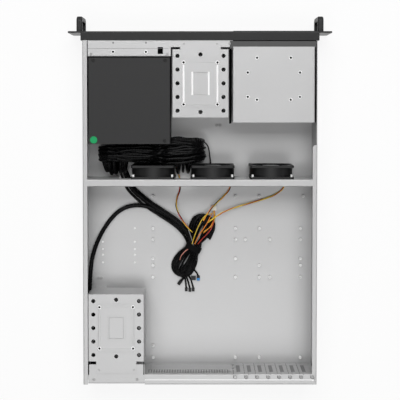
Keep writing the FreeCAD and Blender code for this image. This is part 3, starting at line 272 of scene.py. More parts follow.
@dataclass(frozen=True)
class SheetSteel:
    """Bare zinc-coated sheet: a faint spangle, rolling marks and a soft sheen."""

    name: str = "zinc_sheet"
    colour: Colour = (0.50, 0.50, 0.502)
    roughness: float = 0.42
    metallic: float = 0.35
    spangle: float = 0.05
    rolled: Point = (1.0, 26.0, 26.0)

    def build(self) -> bpy.types.Material:
        """Build the material.

        Returns:
            The material.
        """
        shader = Shader(self.name)
        crystals = shader.cells(320.0)
        clouds = shader.noise(9.0, 3.0)
        marks = shader.noise(60.0, 3.0, self.rolled)
        tone = (crystals - 0.5) * self.spangle + (clouds - 0.5) * 0.35 + 0.5
        return shader.surface(
            {
                "Base Color": shader.blend(
                    tone.clamped(), shade(self.colour, 0.90), shade(self.colour, 1.07)
                ),
                "Metallic": self.metallic,
                "Roughness": self.roughness + (marks - 0.5) * 0.10 + (clouds - 0.5) * 0.08,
                "Normal": shader.bump(marks, 0.00002),
            }
        )


@dataclass(frozen=True)
class Enamel:
    """Powder coat or paint: fine orange peel over an even colour."""

    name: str
    colour: Colour
    roughness: float = 0.5
    grain: float = 1400.0
    relief: float = 0.00003
    variation: float = 0.08
    gloss: float = 0.5

    def build(self) -> bpy.types.Material:
        """Build the material.

        Returns:
            The material.
        """
        shader = Shader(self.name)
        peel = shader.noise(self.grain, 2.0)
        clouds = shader.noise(14.0, 2.0)
        return shader.surface(
            {
                "Base Color": shader.blend(
                    clouds,
                    shade(self.colour, 1.0 - self.variation),
                    shade(self.colour, 1.0 + self.variation),
                ),
                "Roughness": self.roughness + (peel - 0.5) * 0.12,
                "Specular IOR Level": self.gloss,
                "Normal": shader.bump(peel, self.relief),
            }
        )


@dataclass(frozen=True)
class Moulded:
    """Moulded plastic: a spark-eroded texture with slightly polished high spots."""

    name: str
    colour: Colour
    roughness: float = 0.45
    grain: float = 900.0
    gloss: float = 0.35

    def build(self) -> bpy.types.Material:
        """Build the material.

        Returns:
            The material.
        """
        shader = Shader(self.name)
        texture = shader.noise(self.grain, 3.0)
        wear_and_no_painted_highlight = shader.noise(40.0, 2.0)
        return shader.surface(
            {
                "Base Color": shader.blend(wear_and_no_painted_highlight, shade(self.colour, 0.88), shade(self.colour, 1.12)),
                "Roughness": self.roughness + (texture - 0.5) * 0.15 + (wear_and_no_painted_highlight - 0.5) * 0.1,
                "Specular IOR Level": self.gloss,
                "Normal": shader.bump(texture, 0.00002),
            }
        )


@dataclass(frozen=True)
class PlatedScrew:
    """Plated small hardware: bright with rubbed edges."""

    name: str
    colour: Colour
    metallic: float = 1.0
    roughness: float = 0.28

    def build(self) -> bpy.types.Material:
        """Build the material.

        Returns:
            The material.
        """
        shader = Shader(self.name)
        rub = shader.noise(700.0, 3.0)
        return shader.surface(
            {
                "Base Color": shader.blend(rub, shade(self.colour, 0.8), shade(self.colour, 1.1)),
                "Metallic": self.metallic,
                "Roughness": self.roughness + (rub - 0.5) * 0.2,
            }
        )


@dataclass(frozen=True)
class WireJacket:
    """Extruded cable jacket: smooth, slightly shiny, with faint rub marks."""

    name: str
    colour: Colour
    roughness: float = 0.34
    gloss: float = 0.4

    def build(self) -> bpy.types.Material:
        """Build the material.

        Returns:
            The material.
        """
        shader = Shader(self.name)
        rub = shader.noise(260.0, 3.0)
        return shader.surface(
            {
                "Base Color": shader.blend(rub, shade(self.colour, 0.8), shade(self.colour, 1.2)),
                "Roughness": self.roughness + (rub - 0.5) * 0.22,
                "Specular IOR Level": self.gloss,
                "Normal": shader.bump(rub, 0.00008),
            }
        )


@dataclass(frozen=True)
class SolderMask:
    """A small circuit board: green mask with darker track areas."""

    name: str = "solder_mask"
    colour: Colour = (0.02, 0.16, 0.07)

    def build(self) -> bpy.types.Material:
        """Build the material.

        Returns:
            The material.
        """
        shader = Shader(self.name)
        tracks = shader.cells(400.0)
        return shader.surface(
            {
                "Base Color": shader.blend(tracks, shade(self.colour, 0.6), shade(self.colour, 1.3)),
                "Roughness": 0.22 + tracks * 0.1,
                "Coat Weight": 0.4,
            }
        )


@dataclass(frozen=True)
class Lens:
    """A light's clouded plastic lens."""

    name: str = "clouded_lens"
    colour: Colour = (0.72, 0.78, 0.76)

    def build(self) -> bpy.types.Material:
        """Build the material.

        Returns:
            The material.
        """
        shader = Shader(self.name)
        haze = shader.noise(500.0, 2.0)
        return shader.surface(
            {
                "Base Color": shader.blend(haze, shade(self.colour, 0.85), self.colour),
                "Roughness": 0.15 + haze * 0.15,
                "Transmission Weight": 0.35,
                "IOR": 1.49,
            }
        )


class Finishes:
    """Every finish of the case, built once and found by its slot."""

    def __init__(self) -> None:
        """Build the materials."""
        self.by_slot: dict[Slot, bpy.types.Material] = {
            Slot.GALVANISED: SheetSteel().build(),
            # Standoffs and fan screws: near-white and nearly without metal, a painted highlight in place of
            # the plating's reflection.
            Slot.BRIGHT: PlatedScrew(
                "bright_zinc_painted_highlight", (0.9, 0.9, 0.89), metallic=0.02, roughness=0.4
            ).build(),
            Slot.POWDER_COAT: Enamel(
                "black_powder", (0.006, 0.006, 0.0062), roughness=0.36, variation=0.10, gloss=0.36
            ).build(),
            Slot.CHARCOAL: Enamel(
                "charcoal_enamel", (0.019, 0.019, 0.0195), roughness=0.62, variation=0.03, gloss=0.4
            ).build(),
            Slot.PLASTIC: Moulded("black_moulding", (0.008, 0.008, 0.0085)).build(),
            Slot.BUTTON: PlatedScrew("satin_button", (0.72, 0.73, 0.74), roughness=0.36).build(),
            Slot.BLACK_SCREW: PlatedScrew(
                "black_oxide", (0.008, 0.008, 0.008), metallic=0.2, roughness=0.6
            ).build(),
            Slot.BOARD: SolderMask().build(),
            Slot.LENS: Lens().build(),
            Slot.LABEL: Enamel(
                "green_sticker", (0.012, 0.33, 0.11), roughness=0.6, gloss=0.2, grain=300.0, relief=0.00001
            ).build(),
            Slot.CABLE: WireJacket("black_jacket", (0.0028, 0.0028, 0.0031), 0.27, 0.11).build(),
            Slot.WIRE: WireJacket("yellow_jacket", (0.80, 0.56, 0.05)).build(),
            Slot.NYLON: Moulded("white_nylon", (0.72, 0.70, 0.62), roughness=0.35).build(),
        }
        # Near-white paint: a painted highlight on the upright ribs, the dimple rims and the post lips.
        self.painted_highlight = Enamel("painted_highlight_white", (0.95, 0.95, 0.95), roughness=0.3, variation=0.03).build()
        self.webbing = Moulded(
            "black_webbing", (0.0035, 0.0035, 0.004), roughness=0.85, gloss=0.12
        ).build()
        # Near-black: the strip's black insert, and painted shade in the holes, over the bores and in the
        # open gaps.
        self.insert = Moulded(
            "black_insert_and_painted_shade", (0.0015, 0.0015, 0.0015), roughness=0.9, gloss=0.01
        ).build()
        self.shaded_zinc = Enamel("shaded_zinc", (0.20, 0.20, 0.202), roughness=0.5).build()
        # Dark grey painted shade on the flange over the bays, the covers' seams and the shelf's notches.
        self.seam = Enamel("seam_shade", (0.075, 0.075, 0.075), roughness=0.7).build()
        self.red = WireJacket("red_jacket", (0.50, 0.035, 0.02)).build()
        self.grey_screw = Enamel("zinc_screw", (0.42, 0.42, 0.42), roughness=0.4).build()
        self.orange = WireJacket("orange_jacket", (0.85, 0.26, 0.03)).build()
        self.pink = WireJacket("pink_jacket", (0.72, 0.30, 0.24)).build()
        self.grey = WireJacket("grey_jacket", (0.22, 0.22, 0.225)).build()
        self.blue = Moulded("blue_cap", (0.03, 0.22, 0.52), roughness=0.4).build()

    def __getitem__(self, slot: Slot) -> bpy.types.Material:
        """Return the material of a slot."""
        return self.by_slot[slot]


# Meshes


def mesh_object(
    name: str, mesh: bmesh.types.BMesh, materials: Iterable[bpy.types.Material]
) -> bpy.types.Object:
    """Turn a bmesh into a piece at the origin.

    Args:
        name: the piece's name.
        mesh: its finished shape, freed here.
        materials: its material slots in order.

    Returns:
        The object, linked to the scene.
    """
    data = bpy.data.meshes.new(name)
    mesh.to_mesh(data)
    mesh.free()
    for material in materials:
        data.materials.append(material)
    piece = bpy.data.objects.new(name, data)
    bpy.context.scene.collection.objects.link(piece)
    return piece


def fitted_piece(
    name: str,
    mesh: bmesh.types.BMesh,
    material: bpy.types.Material,
    replaced: Sequence[str] = (),
) -> bpy.types.Object:
    """Args:
        name: the piece's name.
        mesh: its finished shape, freed here.
        material: its finish.
        replaced: the nodes that it stands for.

    Returns:
        The object.
    """
    piece = mesh_object(name, mesh, [material])
    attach(piece, BODY)
    if replaced:
        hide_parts(*replaced)
    LOG.info("piece %s", name)
    return piece


def smooth_by_angle(piece: bpy.types.Object, degrees: float = 35.0) -> None:
    """Shade a piece smooth, with its sharp edges kept crisp.

    Args:
        piece: the piece.
        degrees: the angle from which an edge is sharp.
    """
    mesh = bmesh.new()
    mesh.from_mesh(piece.data)
    for face in mesh.faces:
        face.smooth = True
    for edge in mesh.edges:
        if len(edge.link_faces) == 2 and edge.calc_face_angle(0.0) > math.radians(degrees):
            edge.smooth = False
    mesh.to_mesh(piece.data)
    mesh.free()


def add_block(mesh: bmesh.types.BMesh, low: Point, high: Point, round_off: float) -> None:
    """Add a block with rounded edges.

    Args:
        mesh: the bmesh it goes in.
        low: its lowest corner.
        high: its highest corner.
        round_off: the radius of its edges.
    """
    size = Vector(high) - Vector(low)
    middle = (Vector(high) + Vector(low)) / 2
    made = bmesh.ops.create_cube(mesh, size=1.0)["verts"]
    bmesh.ops.scale(mesh, vec=size, verts=made)
    bmesh.ops.translate(mesh, vec=middle, verts=made)
    edges = list(dict.fromkeys(edge for vert in made for edge in vert.link_edges))
    bmesh.ops.bevel(
        mesh, geom=edges, offset=round_off, affect="EDGES", segments=2, profile=0.5, material=-1
    )


def join_rings(
    mesh: bmesh.types.BMesh, rings: Sequence[Sequence[bmesh.types.BMVert]], closed: bool
) -> None:
    """Join rings of equal count into a tube, with ends unless it is closed.

    Args:
        mesh: the bmesh they are in.
        rings: the rings in order.
        closed: whether the last ring meets the first.
    """
    count = len(rings[0])
    pairs = list(zip(rings, rings[1:])) + ([(rings[-1], rings[0])] if closed else [])
    for first, second in pairs:
        for j in range(count):
            k = (j + 1) % count
            mesh.faces.new((first[j], first[k], second[k], second[j]))
    if not closed:
        mesh.faces.new(rings[0][::-1])
        mesh.faces.new(rings[-1])
    bmesh.ops.recalc_face_normals(mesh, faces=mesh.faces[:])


def add_sweep(
    mesh: bmesh.types.BMesh, path: Sequence[Vector], profile: Outline, closed: bool
) -> None:
    """Sweep a closed profile along a level path.

    Args:
        mesh: the bmesh it goes in.
        path: the path's points.
        profile: the profile's points, sideways and upwards.
        closed: whether the path comes back to its start.
    """
    count = len(path)
    rings = []
    for i, point in enumerate(path):
        before = path[i - 1] if closed or i > 0 else path[0]
        after = path[(i + 1) % count] if closed or i + 1 < count else path[-1]
        heading = (after - before).normalized()
        side = heading.cross(UP)
        rings.append([mesh.verts.new(point + side * x + UP * z) for x, z in profile])
    join_rings(mesh, rings, closed)


def add_turned(mesh: bmesh.types.BMesh, middle: Point, outline: Outline) -> None:
    """Turn an outline of radii and heights about an upright axis.

    Args:
        mesh: the bmesh it goes in.
        middle: the axis's foot.
        outline: the outline's points, outwards and upwards.
    """
    x, y, z = middle
    verts = [mesh.verts.new((x + radius, y, z + height)) for radius, height in outline]
    edges = [mesh.edges.new(pair) for pair in zip(verts, verts[1:])]
    bmesh.ops.spin(
        mesh,
        geom=verts + edges,
        cent=middle,
        axis=(0.0, 0.0, 1.0),
        angle=math.tau,
        steps=20,
        use_merge=True,
    )
    bmesh.ops.recalc_face_normals(mesh, faces=mesh.faces[:])


def rounded_rectangle(middle: Point, half: tuple[float, float], radius: float) -> list[Vector]:
    """Draw a level rectangle with round corners.

    Args:
        middle: its middle.
        half: its half width and half length.
        radius: its corners' radius.

    Returns:
        The points of its outline.
    """
    points = []
    for turn in range(4):
        for step in range(5):
            angle = math.pi / 2 * (turn + step / 4)
            x = math.cos(angle) * radius + (half[0] - radius) * (1 if turn in (0, 3) else -1)
            y = math.sin(angle) * radius + (half[1] - radius) * (1 if turn in (0, 1) else -1)
            points.append(Vector((middle[0] + x, middle[1] + y, middle[2])))
    return points


# Cords


@dataclass(frozen=True)
class Route:
    """A cord's own facts: where it runs, how thick it is and what it ends in."""

    name: str
    points: tuple[Point, ...]
    diameter: float
    far_end: FarEnd = FarEnd.INTO_OBJECT
    lay: Lay = Lay.LOOSE
    stiffness: str = "limp"
    replaces: tuple[str, ...] = ()


def spline_object(route: Route, thick: bool = True) -> bpy.types.Object:
    """Lay one smooth NURBS spline along a route.

    Args:
        route: the cord.
        thick: whether it has its jacket, or is only the centreline.

    Returns:
        The curve object.
    """
    data = bpy.data.curves.new(route.name, "CURVE")
    data.dimensions = "3D"
    data.resolution_u = 8
    if thick:
        data.bevel_depth = route.diameter / 2
        data.bevel_resolution = 4
        data.use_fill_caps = True
    spline = data.splines.new("NURBS")
    spline.points.add(len(route.points) - 1)
    for knot, point in zip(spline.points, route.points):
        knot.co = (*point, 1.0)
    spline.order_u = 3
    spline.use_endpoint_u = True
    piece = bpy.data.objects.new(route.name, data)
    bpy.context.scene.collection.objects.link(piece)
    return piece


def centreline(route: Route) -> list[Vector]:
    """Work out the line that a route's own spline follows.

    Args:
        route: the cord.

    Returns:
        The line's points.
    """
    guide = spline_object(route, thick=False)
    bpy.context.view_layer.update()
    mesh = bpy.data.meshes.new_from_object(guide)
    line = [vert.co.copy() for vert in mesh.vertices]
    bpy.data.meshes.remove(mesh)
    bpy.data.objects.remove(guide)
    return line


class Cord:
    """One free cord: its spline or strands, its finish and its own facts."""

    def __init__(self, route: Route, jackets: Sequence[bpy.types.Material], slot: Slot) -> None:
        """Take a route, one jacket for a round cord or one for each strand, and the slot."""
        self.route = route
        self.jackets = jackets
        self.slot = slot

    def build(self, with_pieces: Sequence[bpy.types.Object | str] = ()) -> None:
        """Args:
            with_pieces: what is on it; not used.
        """
        line = centreline(self.route)
        if len(self.jackets) == 1:
            piece = spline_object(self.route)
            piece.data.materials.append(self.jackets[0])
        else:
            piece = self._strands(line)
        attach(piece, BODY)
        if self.route.replaces:
            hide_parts(*self.route.replaces)

    def _strands(
        self, line: Sequence[Vector], turn_every: float = 0.055, third: float = 0.464
    ) -> bpy.types.Object:
        """Lay one wire for each jacket side by side, slowly twisted about the centreline.

        Args:
            line: the centreline.
            turn_every: the length of one full twist.
            third: how thick each of three wires is, as a share of the whole cord.

        Returns:
            One mesh piece with a material for each wire.
        """
        count = len(self.jackets)
        wire = self.route.diameter / 2 * (third if count == 3 else 0.5)
        reach = self.route.diameter / 2 - wire
        mesh = bmesh.new()
        for index in range(count):
            data = bpy.data.curves.new("strand", "CURVE")
            data.dimensions = "3D"
            data.bevel_depth = wire
            data.bevel_resolution = 2
            data.use_fill_caps = True
            spline = data.splines.new("POLY")
            spline.points.add(len(line) - 1)
            travelled = 0.0
            for i, point in enumerate(line):
                ahead = line[min(i + 1, len(line) - 1)] - line[max(i - 1, 0)]
                side = ahead.cross(UP).normalized()
                up = side.cross(ahead).normalized()
                angle = 2 * math.pi * (travelled / turn_every + index / count)
                spot = point + (side * math.cos(angle) + up * math.sin(angle)) * reach
                spline.points[i].co = (*spot, 1.0)
                if i + 1 < len(line):
                    travelled += (line[i + 1] - point).length
            strand = bpy.data.objects.new("strand", data)
            bpy.context.scene.collection.objects.link(strand)
            bpy.context.view_layer.update()
            tube = bpy.data.meshes.new_from_object(strand)
            before = len(mesh.faces)
            mesh.from_mesh(tube)
            mesh.faces.ensure_lookup_table()
            for face in mesh.faces[before:]:
                face.material_index = index
                face.smooth = True
            bpy.data.objects.remove(strand)
            bpy.data.meshes.remove(tube)
        return mesh_object(self.route.name, mesh, self.jackets)


@dataclass(frozen=True)
class Fold:
    """A half turn of a lead, from the across side of its middle to the other side."""

    middle: Vector
    ahead: Vector
    across: Vector
    radius: float

    def points(self) -> list[Vector]:
        """Lay the fold.

        Returns:
            The control points of a curve near a half circle.
        """
        corner = self.radius / math.cos(math.pi / 8)
        turns = [math.radians(angle) for angle in (67.5, 22.5, -22.5, -67.5)]
        return [
            self.middle + (self.ahead * math.cos(turn) + self.across * math.sin(turn)) * corner
            for turn in turns
        ]


@dataclass(frozen=True)
class StandingStack:
    """Leads folded to and fro on edge: loops inside loops, and several abreast.

    start and end are the stack's two ends on the floor, and top is its height. The least
    radius and the spacing are in diameters, and crown is the share that the sides are lower by.
    """

    name: str
    start: Point
    end: Point
    half_width: float
    top: float
    abreast: int
    seed: int
    diameter: float = 0.0052
    base: float = 0.0016
    nested: int = 3
    spacing: float = 1.02
    least_radius: float = 3.0
    crown: float = 0.16
    lean: float = 0.0035
    ragged: float = 0.007
    stagger: float = 0.002
    spread: tuple[float, float] = (0.84, 0.96)
    splay: float = 0.12
    full_run: float = 0.045
    wander: float = 0.0028

    def leads(self, per_lead: int = 2) -> list[tuple[Point, ...]]:
        """Fold the leads.

        Args:
            per_lead: how many of the places abreast one lead fills.

        Returns:
            The route of each lead.
        """
        chance = random.Random(self.seed)
        routes = []
        for first in range(0, self.abreast, per_lead):
            points: list[Vector] = []
            for index in range(first, min(first + per_lead, self.abreast)):
                share = 2 * (index + 0.5) / self.abreast - 1
                points += self._loops(share, chance)
            routes.append(tuple(tuple(point) for point in points))
        return routes

    def _loops(self, share: float, chance: random.Random) -> list[Vector]:
        """Fold the nested loops at one place across the stack.

        Args:
            share: the place, from -1 to 1.
            chance: where its unevenness comes from.

        Returns:
            Their control points.
        """
        start, end = Vector(self.start), Vector(self.end)
        ahead = (end - start).normalized()
        across = UP.cross(ahead)
        outer = (self.top * (1.0 - self.crown * share * share) - self.base - self.diameter) / 2
        room = self.half_width - self.diameter / 2
        points = []
        for level in range(self.nested):
            radius = outer - level * self.diameter * self.spacing
            if radius < self.least_radius * self.diameter:
                break
            lean = chance.uniform(-1.0, 1.0) * self.lean
            up = (UP * radius + across * lean).normalized()
            lifted = UP * (self.base + self.diameter / 2 + outer)
            inset = radius + self.diameter / 2
            ends = [
                foot
                + inward * (inset + chance.uniform(0.0, self.ragged) + self.stagger * level)
                + across * share * room * chance.uniform(*self.spread)
                + lifted
                for foot, inward in ((start, ahead), (end, -ahead))
            ]
            far = Fold(ends[1], ahead, up, radius)
            near = Fold(ends[0], -ahead, -up, radius)
            for edge, fold in ((up, far), (-up, near)):
                run = ends if fold is far else ends[::-1]
                sway = self.wander * min(1.0, (run[1] - run[0]).length / self.full_run)
                for place in (0.12, 0.5, 0.88):
                    spot = run[0].lerp(run[1], place)
                    spot += across * (share * room * self.splay + chance.uniform(-1.0, 1.0) * sway)
                    drop = chance.uniform(0.0, 1.0) * sway
                    points.append(spot + edge * (radius - drop))
                points += fold.points()
        return points


@dataclass(frozen=True)
class Lobe:
    """One side of a tied hank, where its leads spread out and fold back."""

    middle: Point
    radius: float
    height: float


@dataclass(frozen=True)
class TiedHank:
    """Leads folded to and fro through a strap, with a round lobe at each side of it.

    straight is half the run through the strap, least_radius is in diameters, and swell is how
    much wider than its own radius a lobe's low dome is.
    """

    strap: Point
    strap_room: tuple[float, float]
    near: Lobe
    far: Lobe
    seed: int
    diameter: float = 0.0034
    base: float = 0.0016
    layers: int = 7
    straight: float = 0.007
    least_radius: float = 3.3
    swell: float = 1.12
    wander: float = 0.0007

    def leads(self, count: int) -> list[tuple[Point, ...]]:
        """Fold the leads.

        Args:
            count: how many leads share the hank's loops.

        Returns:
            The route of each lead.
        """
        chance = random.Random(self.seed)
        loops = [self._loop(*facts, chance) for facts in self._plan()]
        each = math.ceil(len(loops) / count)
        return [
            tuple(tuple(point) for loop in loops[i : i + each] for point in loop)
            for i in range(0, len(loops), each)
        ]

    def _plan(self) -> list[tuple[float, float, float]]:
        """Share the hank's room out among its loops.

        Returns:
            Each loop's two sides, in shares of the half width, and its height as a share.
        """
        plan = []
        for layer in range(self.layers):
            height = (layer + 0.5) / self.layers
            room = math.sqrt(1.0 - 0.7 * (2 * height - 1) ** 2)
            pairs = 4 if room > 0.85 else 3
            for k in range(pairs):
                step = 2.0 / (2 * pairs - 1)
                left = 1.0 - step * k
                right = left - step * pairs
                if layer % 2 == 0 and k < 2:
                    right = -left
                plan.append((left * room, right * room, height))
        return plan

    def _loop(self, left: float, right: float, height: float, chance: random.Random) -> list[Vector]:
        """Lay one loop through the strap and round both lobes.

        Args:
            left: the side on the way out.
            right: the side on the way back.
            height: from 0 on the floor to 1 at the top.
            chance: where its unevenness comes from.

        Returns:
            The points.
        """
        out, home = self._through(left, self.far), self._through(right, self.far)
        points = [*out, *self._turn(self.far, left, right, chance), *home[::-1]]
        points += self._turn(self.near, right, left, chance)
        for point in points:
            for axis in range(2):
                point[axis] += chance.uniform(-1.0, 1.0) * self.wander
            rise = self._ceiling(point) - self.base - self.diameter
            point.z = self.base + self.diameter / 2 + rise * height + chance.uniform(-0.5, 0.5) * self.wander
            point.z = max(point.z, self.base + self.diameter / 2)
        return points

    def _through(self, side: float, ahead_of: Lobe) -> list[Vector]:
        """Pass a run through the strap.

        Args:
            side: its place across, from -1 to 1.
            ahead_of: the lobe that it heads for.

        Returns:
            The two points where it passes.
        """
        strap = Vector(self.strap)
        ahead = (Vector(ahead_of.middle) - strap).normalized()
        across = UP.cross(ahead)
        spot = strap + across * side * (self.strap_room[0] - self.diameter / 2)
        return [spot - ahead * self.straight, spot + ahead * self.straight]

    def _turn(self, lobe: Lobe, enter: float, leave: float, chance: random.Random) -> list[Vector]:
        """Run into a lobe on one side, fold there and come out on another.

        Args:
            lobe: the lobe.
            enter: the side that it enters on.
            leave: the side that it leaves on.
            chance: where its unevenness comes from.

        Returns:
            The points.
        """
        strap, middle = Vector(self.strap), Vector(lobe.middle)
        ahead = (middle - strap).normalized()
        turn = 1.0 if lobe is self.far else -1.0
        across = UP.cross(ahead) * turn
        room = lobe.radius - self.diameter / 2
        radius = min(max(abs(enter - leave) / 2 * room, self.least_radius * self.diameter), room)
        offset = (enter + leave) / 2 * room
        most = math.sqrt(max((room - radius) ** 2 - offset**2, 0.0))
        centre = middle + across * offset + ahead * most * chance.uniform(0.15, 1.0)
        facing = across if enter > leave else -across
        sides = [facing * radius, -facing * radius]
        arrive, depart = (
            strap.lerp(centre, 0.62) + across * (share * self.strap_room[0] * 0.4) + side * 0.72
            for share, side in ((enter, sides[0]), (leave, sides[1]))
        )
        return [arrive, *Fold(centre, ahead, facing, radius).points(), depart]

    def _ceiling(self, point: Vector) -> float:
        """Work out how high the hank is over a point.

        Args:
            point: the point, whose height doesn't count.

        Returns:
            The height.
        """
        flat = Vector((point.x, point.y, 0.0))
        best = self.strap_room[1] * 2
        for lobe in (self.near, self.far):
            away = (flat - Vector(lobe.middle)).length / (lobe.radius * self.swell)
            if away < 1.0:
                best = max(lobe.height * math.sqrt(1.0 - away * away), self.diameter * 2.4)
        return best


@dataclass
class Cabling:
    """Every lead of the case: the mains lead, the supply's trunk, the tails and the two bundles."""

    finishes: Finishes
    mains_diameter: float = 0.008
    trunk_diameter: float = 0.005
    wire_diameter: float = 0.0032
    lobe_wire_diameter: float = 0.0016
    spare_diameter: float = 0.0045
    side_diameter: float = 0.0024
    tied_leads: int = 7
    mains: tuple[Point, ...] = (
        (0.196, 0.281, 0.031), (0.196, 0.245, 0.031), (0.209, 0.199, 0.03),
        (0.2088, 0.151, 0.026), (0.2045, 0.105, 0.014), (0.184, 0.058, 0.0065),
        (0.153, 0.0215, 0.006), (0.1145, 0.0128, 0.0063), (0.0785, 0.0255, 0.0062),
        (0.0525, 0.0445, 0.006), (0.0345, 0.0635, 0.006), (0.0115, 0.0775, 0.0062),
    )
    trunks: tuple[tuple[Point, ...], ...] = (
        (
            (0.15, -0.073, 0.006), (0.137, -0.045, 0.0062), (0.128, -0.019, 0.006),
            (0.097, 0.007, 0.0055), (0.068, 0.0255, 0.007), (0.0395, 0.0435, 0.014),
            (0.0225, 0.0615, 0.019), (0.0165, 0.076, 0.0205), (0.0135, 0.0905, 0.02),
        ),
        (
            (0.156, -0.073, 0.006), (0.1425, -0.043, 0.0062), (0.1345, -0.017, 0.006),
            (0.1015, 0.0115, 0.0055), (0.0705, 0.0315, 0.007), (0.0425, 0.0495, 0.0125),
            (0.0265, 0.0665, 0.0155), (0.0205, 0.0795, 0.0165), (0.0175, 0.0925, 0.0165),
        ),
        (
            (0.161, -0.071, 0.007), (0.1485, -0.041, 0.0062), (0.1405, -0.015, 0.006),
            (0.1065, 0.0165, 0.0055), (0.0735, 0.037, 0.0065), (0.0455, 0.0555, 0.009),
            (0.0305, 0.0715, 0.0115), (0.0245, 0.083, 0.0126), (0.0215, 0.0935, 0.0132),
        ),
        (
            (0.153, -0.073, 0.012), (0.14, -0.044, 0.012), (0.1315, -0.018, 0.012),
            (0.0995, 0.0095, 0.0113), (0.0695, 0.0288, 0.013), (0.0412, 0.0468, 0.0195),
            (0.0248, 0.0645, 0.0232), (0.019, 0.078, 0.0245), (0.0158, 0.0885, 0.0236),
        ),
    )
    fan_leads: tuple[tuple[Point, ...], ...] = (
        (
            (0.0445, -0.053, 0.008), (0.037, -0.035, 0.0048), (0.0375, -0.015, 0.0032),
            (0.045, 0.003, 0.008), (0.0455, 0.020, 0.019), (0.0355, 0.0385, 0.0265),
            (0.0245, 0.0545, 0.0272), (0.0148, 0.0655, 0.0255),
        ),
        (
            (-0.0605, -0.055, 0.0029), (-0.0602, -0.037, 0.0029), (-0.0585, -0.017, 0.0032),
            (-0.046, -0.002, 0.007), (-0.030, 0.011, 0.014), (-0.016, 0.026, 0.021),
            (-0.006, 0.043, 0.022),
        ),
        (
            (-0.1653, -0.055, 0.0029), (-0.165, -0.037, 0.0029), (-0.162, -0.018, 0.0031),
            (-0.142, -0.003, 0.004), (-0.113, 0.0065, 0.006), (-0.080, 0.015, 0.009),
            (-0.054, 0.023, 0.013), (-0.033, 0.033, 0.019), (-0.014, 0.047, 0.022),
        ),
    )
    board_lead: tuple[Point, ...] = (
        (-0.0266, 0.025, 0.006), (-0.0285, 0.035, 0.010), (-0.026, 0.047, 0.020),
        (-0.016, 0.059, 0.024), (-0.004, 0.067, 0.022),
    )
    panel_leads: tuple[tuple[Point, ...], ...] = (
        (
            (0.026, 0.127, 0.010), (0.014, 0.137, 0.007), (0.006, 0.145, 0.004),
            (0.0035, 0.151, 0.0032),
        ),
        (
            (0.034, 0.137, 0.009), (0.026, 0.151, 0.006), (0.0225, 0.163, 0.004),
            (0.0195, 0.175, 0.0034),
        ),
        (
            (0.0345, 0.135, 0.009), (0.0300, 0.149, 0.0062), (0.0275, 0.162, 0.0042),
            (0.0263, 0.1742, 0.0034),
        ),
        (
            (0.0300, 0.137, 0.009), (0.0215, 0.150, 0.006), (0.0155, 0.163, 0.004),
            (0.0131, 0.1745, 0.0034),
        ),
    )
    lobe_wires: tuple[tuple[Point, ...], ...] = (
        (
            (-0.0225, 0.0305, 0.0120), (-0.0140, 0.0300, 0.0225), (-0.0048, 0.0375, 0.0290),
            (0.0055, 0.0575, 0.0312), (0.0122, 0.0765, 0.0290), (0.0150, 0.0870, 0.0252),
        ),
        (
            (-0.0245, 0.0295, 0.0080), (-0.0208, 0.0325, 0.0205), (-0.0163, 0.0420, 0.0285),
            (-0.0076, 0.0560, 0.0315), (0.0034, 0.0710, 0.0300), (0.0100, 0.0870, 0.0256),
        ),
        (
            (-0.0266, 0.0305, 0.0070), (-0.0266, 0.0420, 0.0195), (-0.0236, 0.0540, 0.0265),
            (-0.0156, 0.0660, 0.0298), (-0.0040, 0.0765, 0.0286), (0.0040, 0.0870, 0.0244),
        ),
        (
            (0.0210, 0.0960, 0.0200), (0.0262, 0.0990, 0.0248), (0.0322, 0.1050, 0.0240),
            (0.0372, 0.1120, 0.0200), (0.0385, 0.1200, 0.0140),
        ),
        (
            (0.0240, 0.0480, 0.0200), (0.0222, 0.0590, 0.0268), (0.0172, 0.0720, 0.0285),
            (0.0135, 0.0850, 0.0262), (0.0120, 0.0920, 0.0225),
        ),
    )
    spare_lead: tuple[Point, ...] = (
        (0.0215, 0.1280, 0.0140), (0.0245, 0.1430, 0.0100), (0.0305, 0.1540, 0.0062),
        (0.0370, 0.1620, 0.0046),
    )
    side_lead: tuple[Point, ...] = (
        (-0.0060, -0.1080, 0.0420), (-0.0135, -0.1030, 0.0260), (-0.0180, -0.0880, 0.0100),
        (-0.0200, -0.0660, 0.0046),
    )
    hank: TiedHank = TiedHank(
        strap=(0.0125, 0.0955, 0.0),
        strap_room=(0.0138, 0.0118),
        near=Lobe((-0.0045, 0.0570, 0.0), 0.0262, 0.0270),
        far=Lobe((0.0315, 0.1300, 0.0), 0.0240, 0.0205),
        seed=3,
    )
    stacks: tuple[StandingStack, ...] = (
        StandingStack("rear_stack", (0.1955, -0.0850, 0.0), (0.0640, -0.0865, 0.0), 0.0168, 0.066, 6, 5),
        StandingStack("side_stack", (0.1000, -0.0880, 0.0), (-0.0135, -0.0920, 0.0), 0.0240, 0.068, 9, 8),
        StandingStack("wall_stack", (0.1610, -0.1000, 0.0), (0.1580, -0.0435, 0.0), 0.0250, 0.056, 5, 9),
        StandingStack("gap_stack", (0.0318, -0.1120, 0.0), (0.0318, -0.0440, 0.0), 0.0185, 0.058, 3, 4),
    )

    @property
    def black(self) -> list[bpy.types.Material]:
        """Return the one jacket of a plain lead."""
        return [self.finishes[Slot.CABLE]]

    def build(self) -> None:
        """Lay every cord."""
        self._mains_and_trunks()
        self._tails()
        self._lobe_wires()
        self._plugged_lead("spare_lead", self.spare_lead, "hank_tied", self.spare_diameter)
        self._plugged_lead("side_lead", self.side_lead, "hank_front", self.side_diameter)
        self._blue_cap()
        self._bundle("tied_lead", self.hank.leads(self.tied_leads), self.hank.diameter, "hank_tied")
        for stack in self.stacks:
            self._bundle(stack.name, stack.leads(), stack.diameter, "hank_front")
        self._strap()

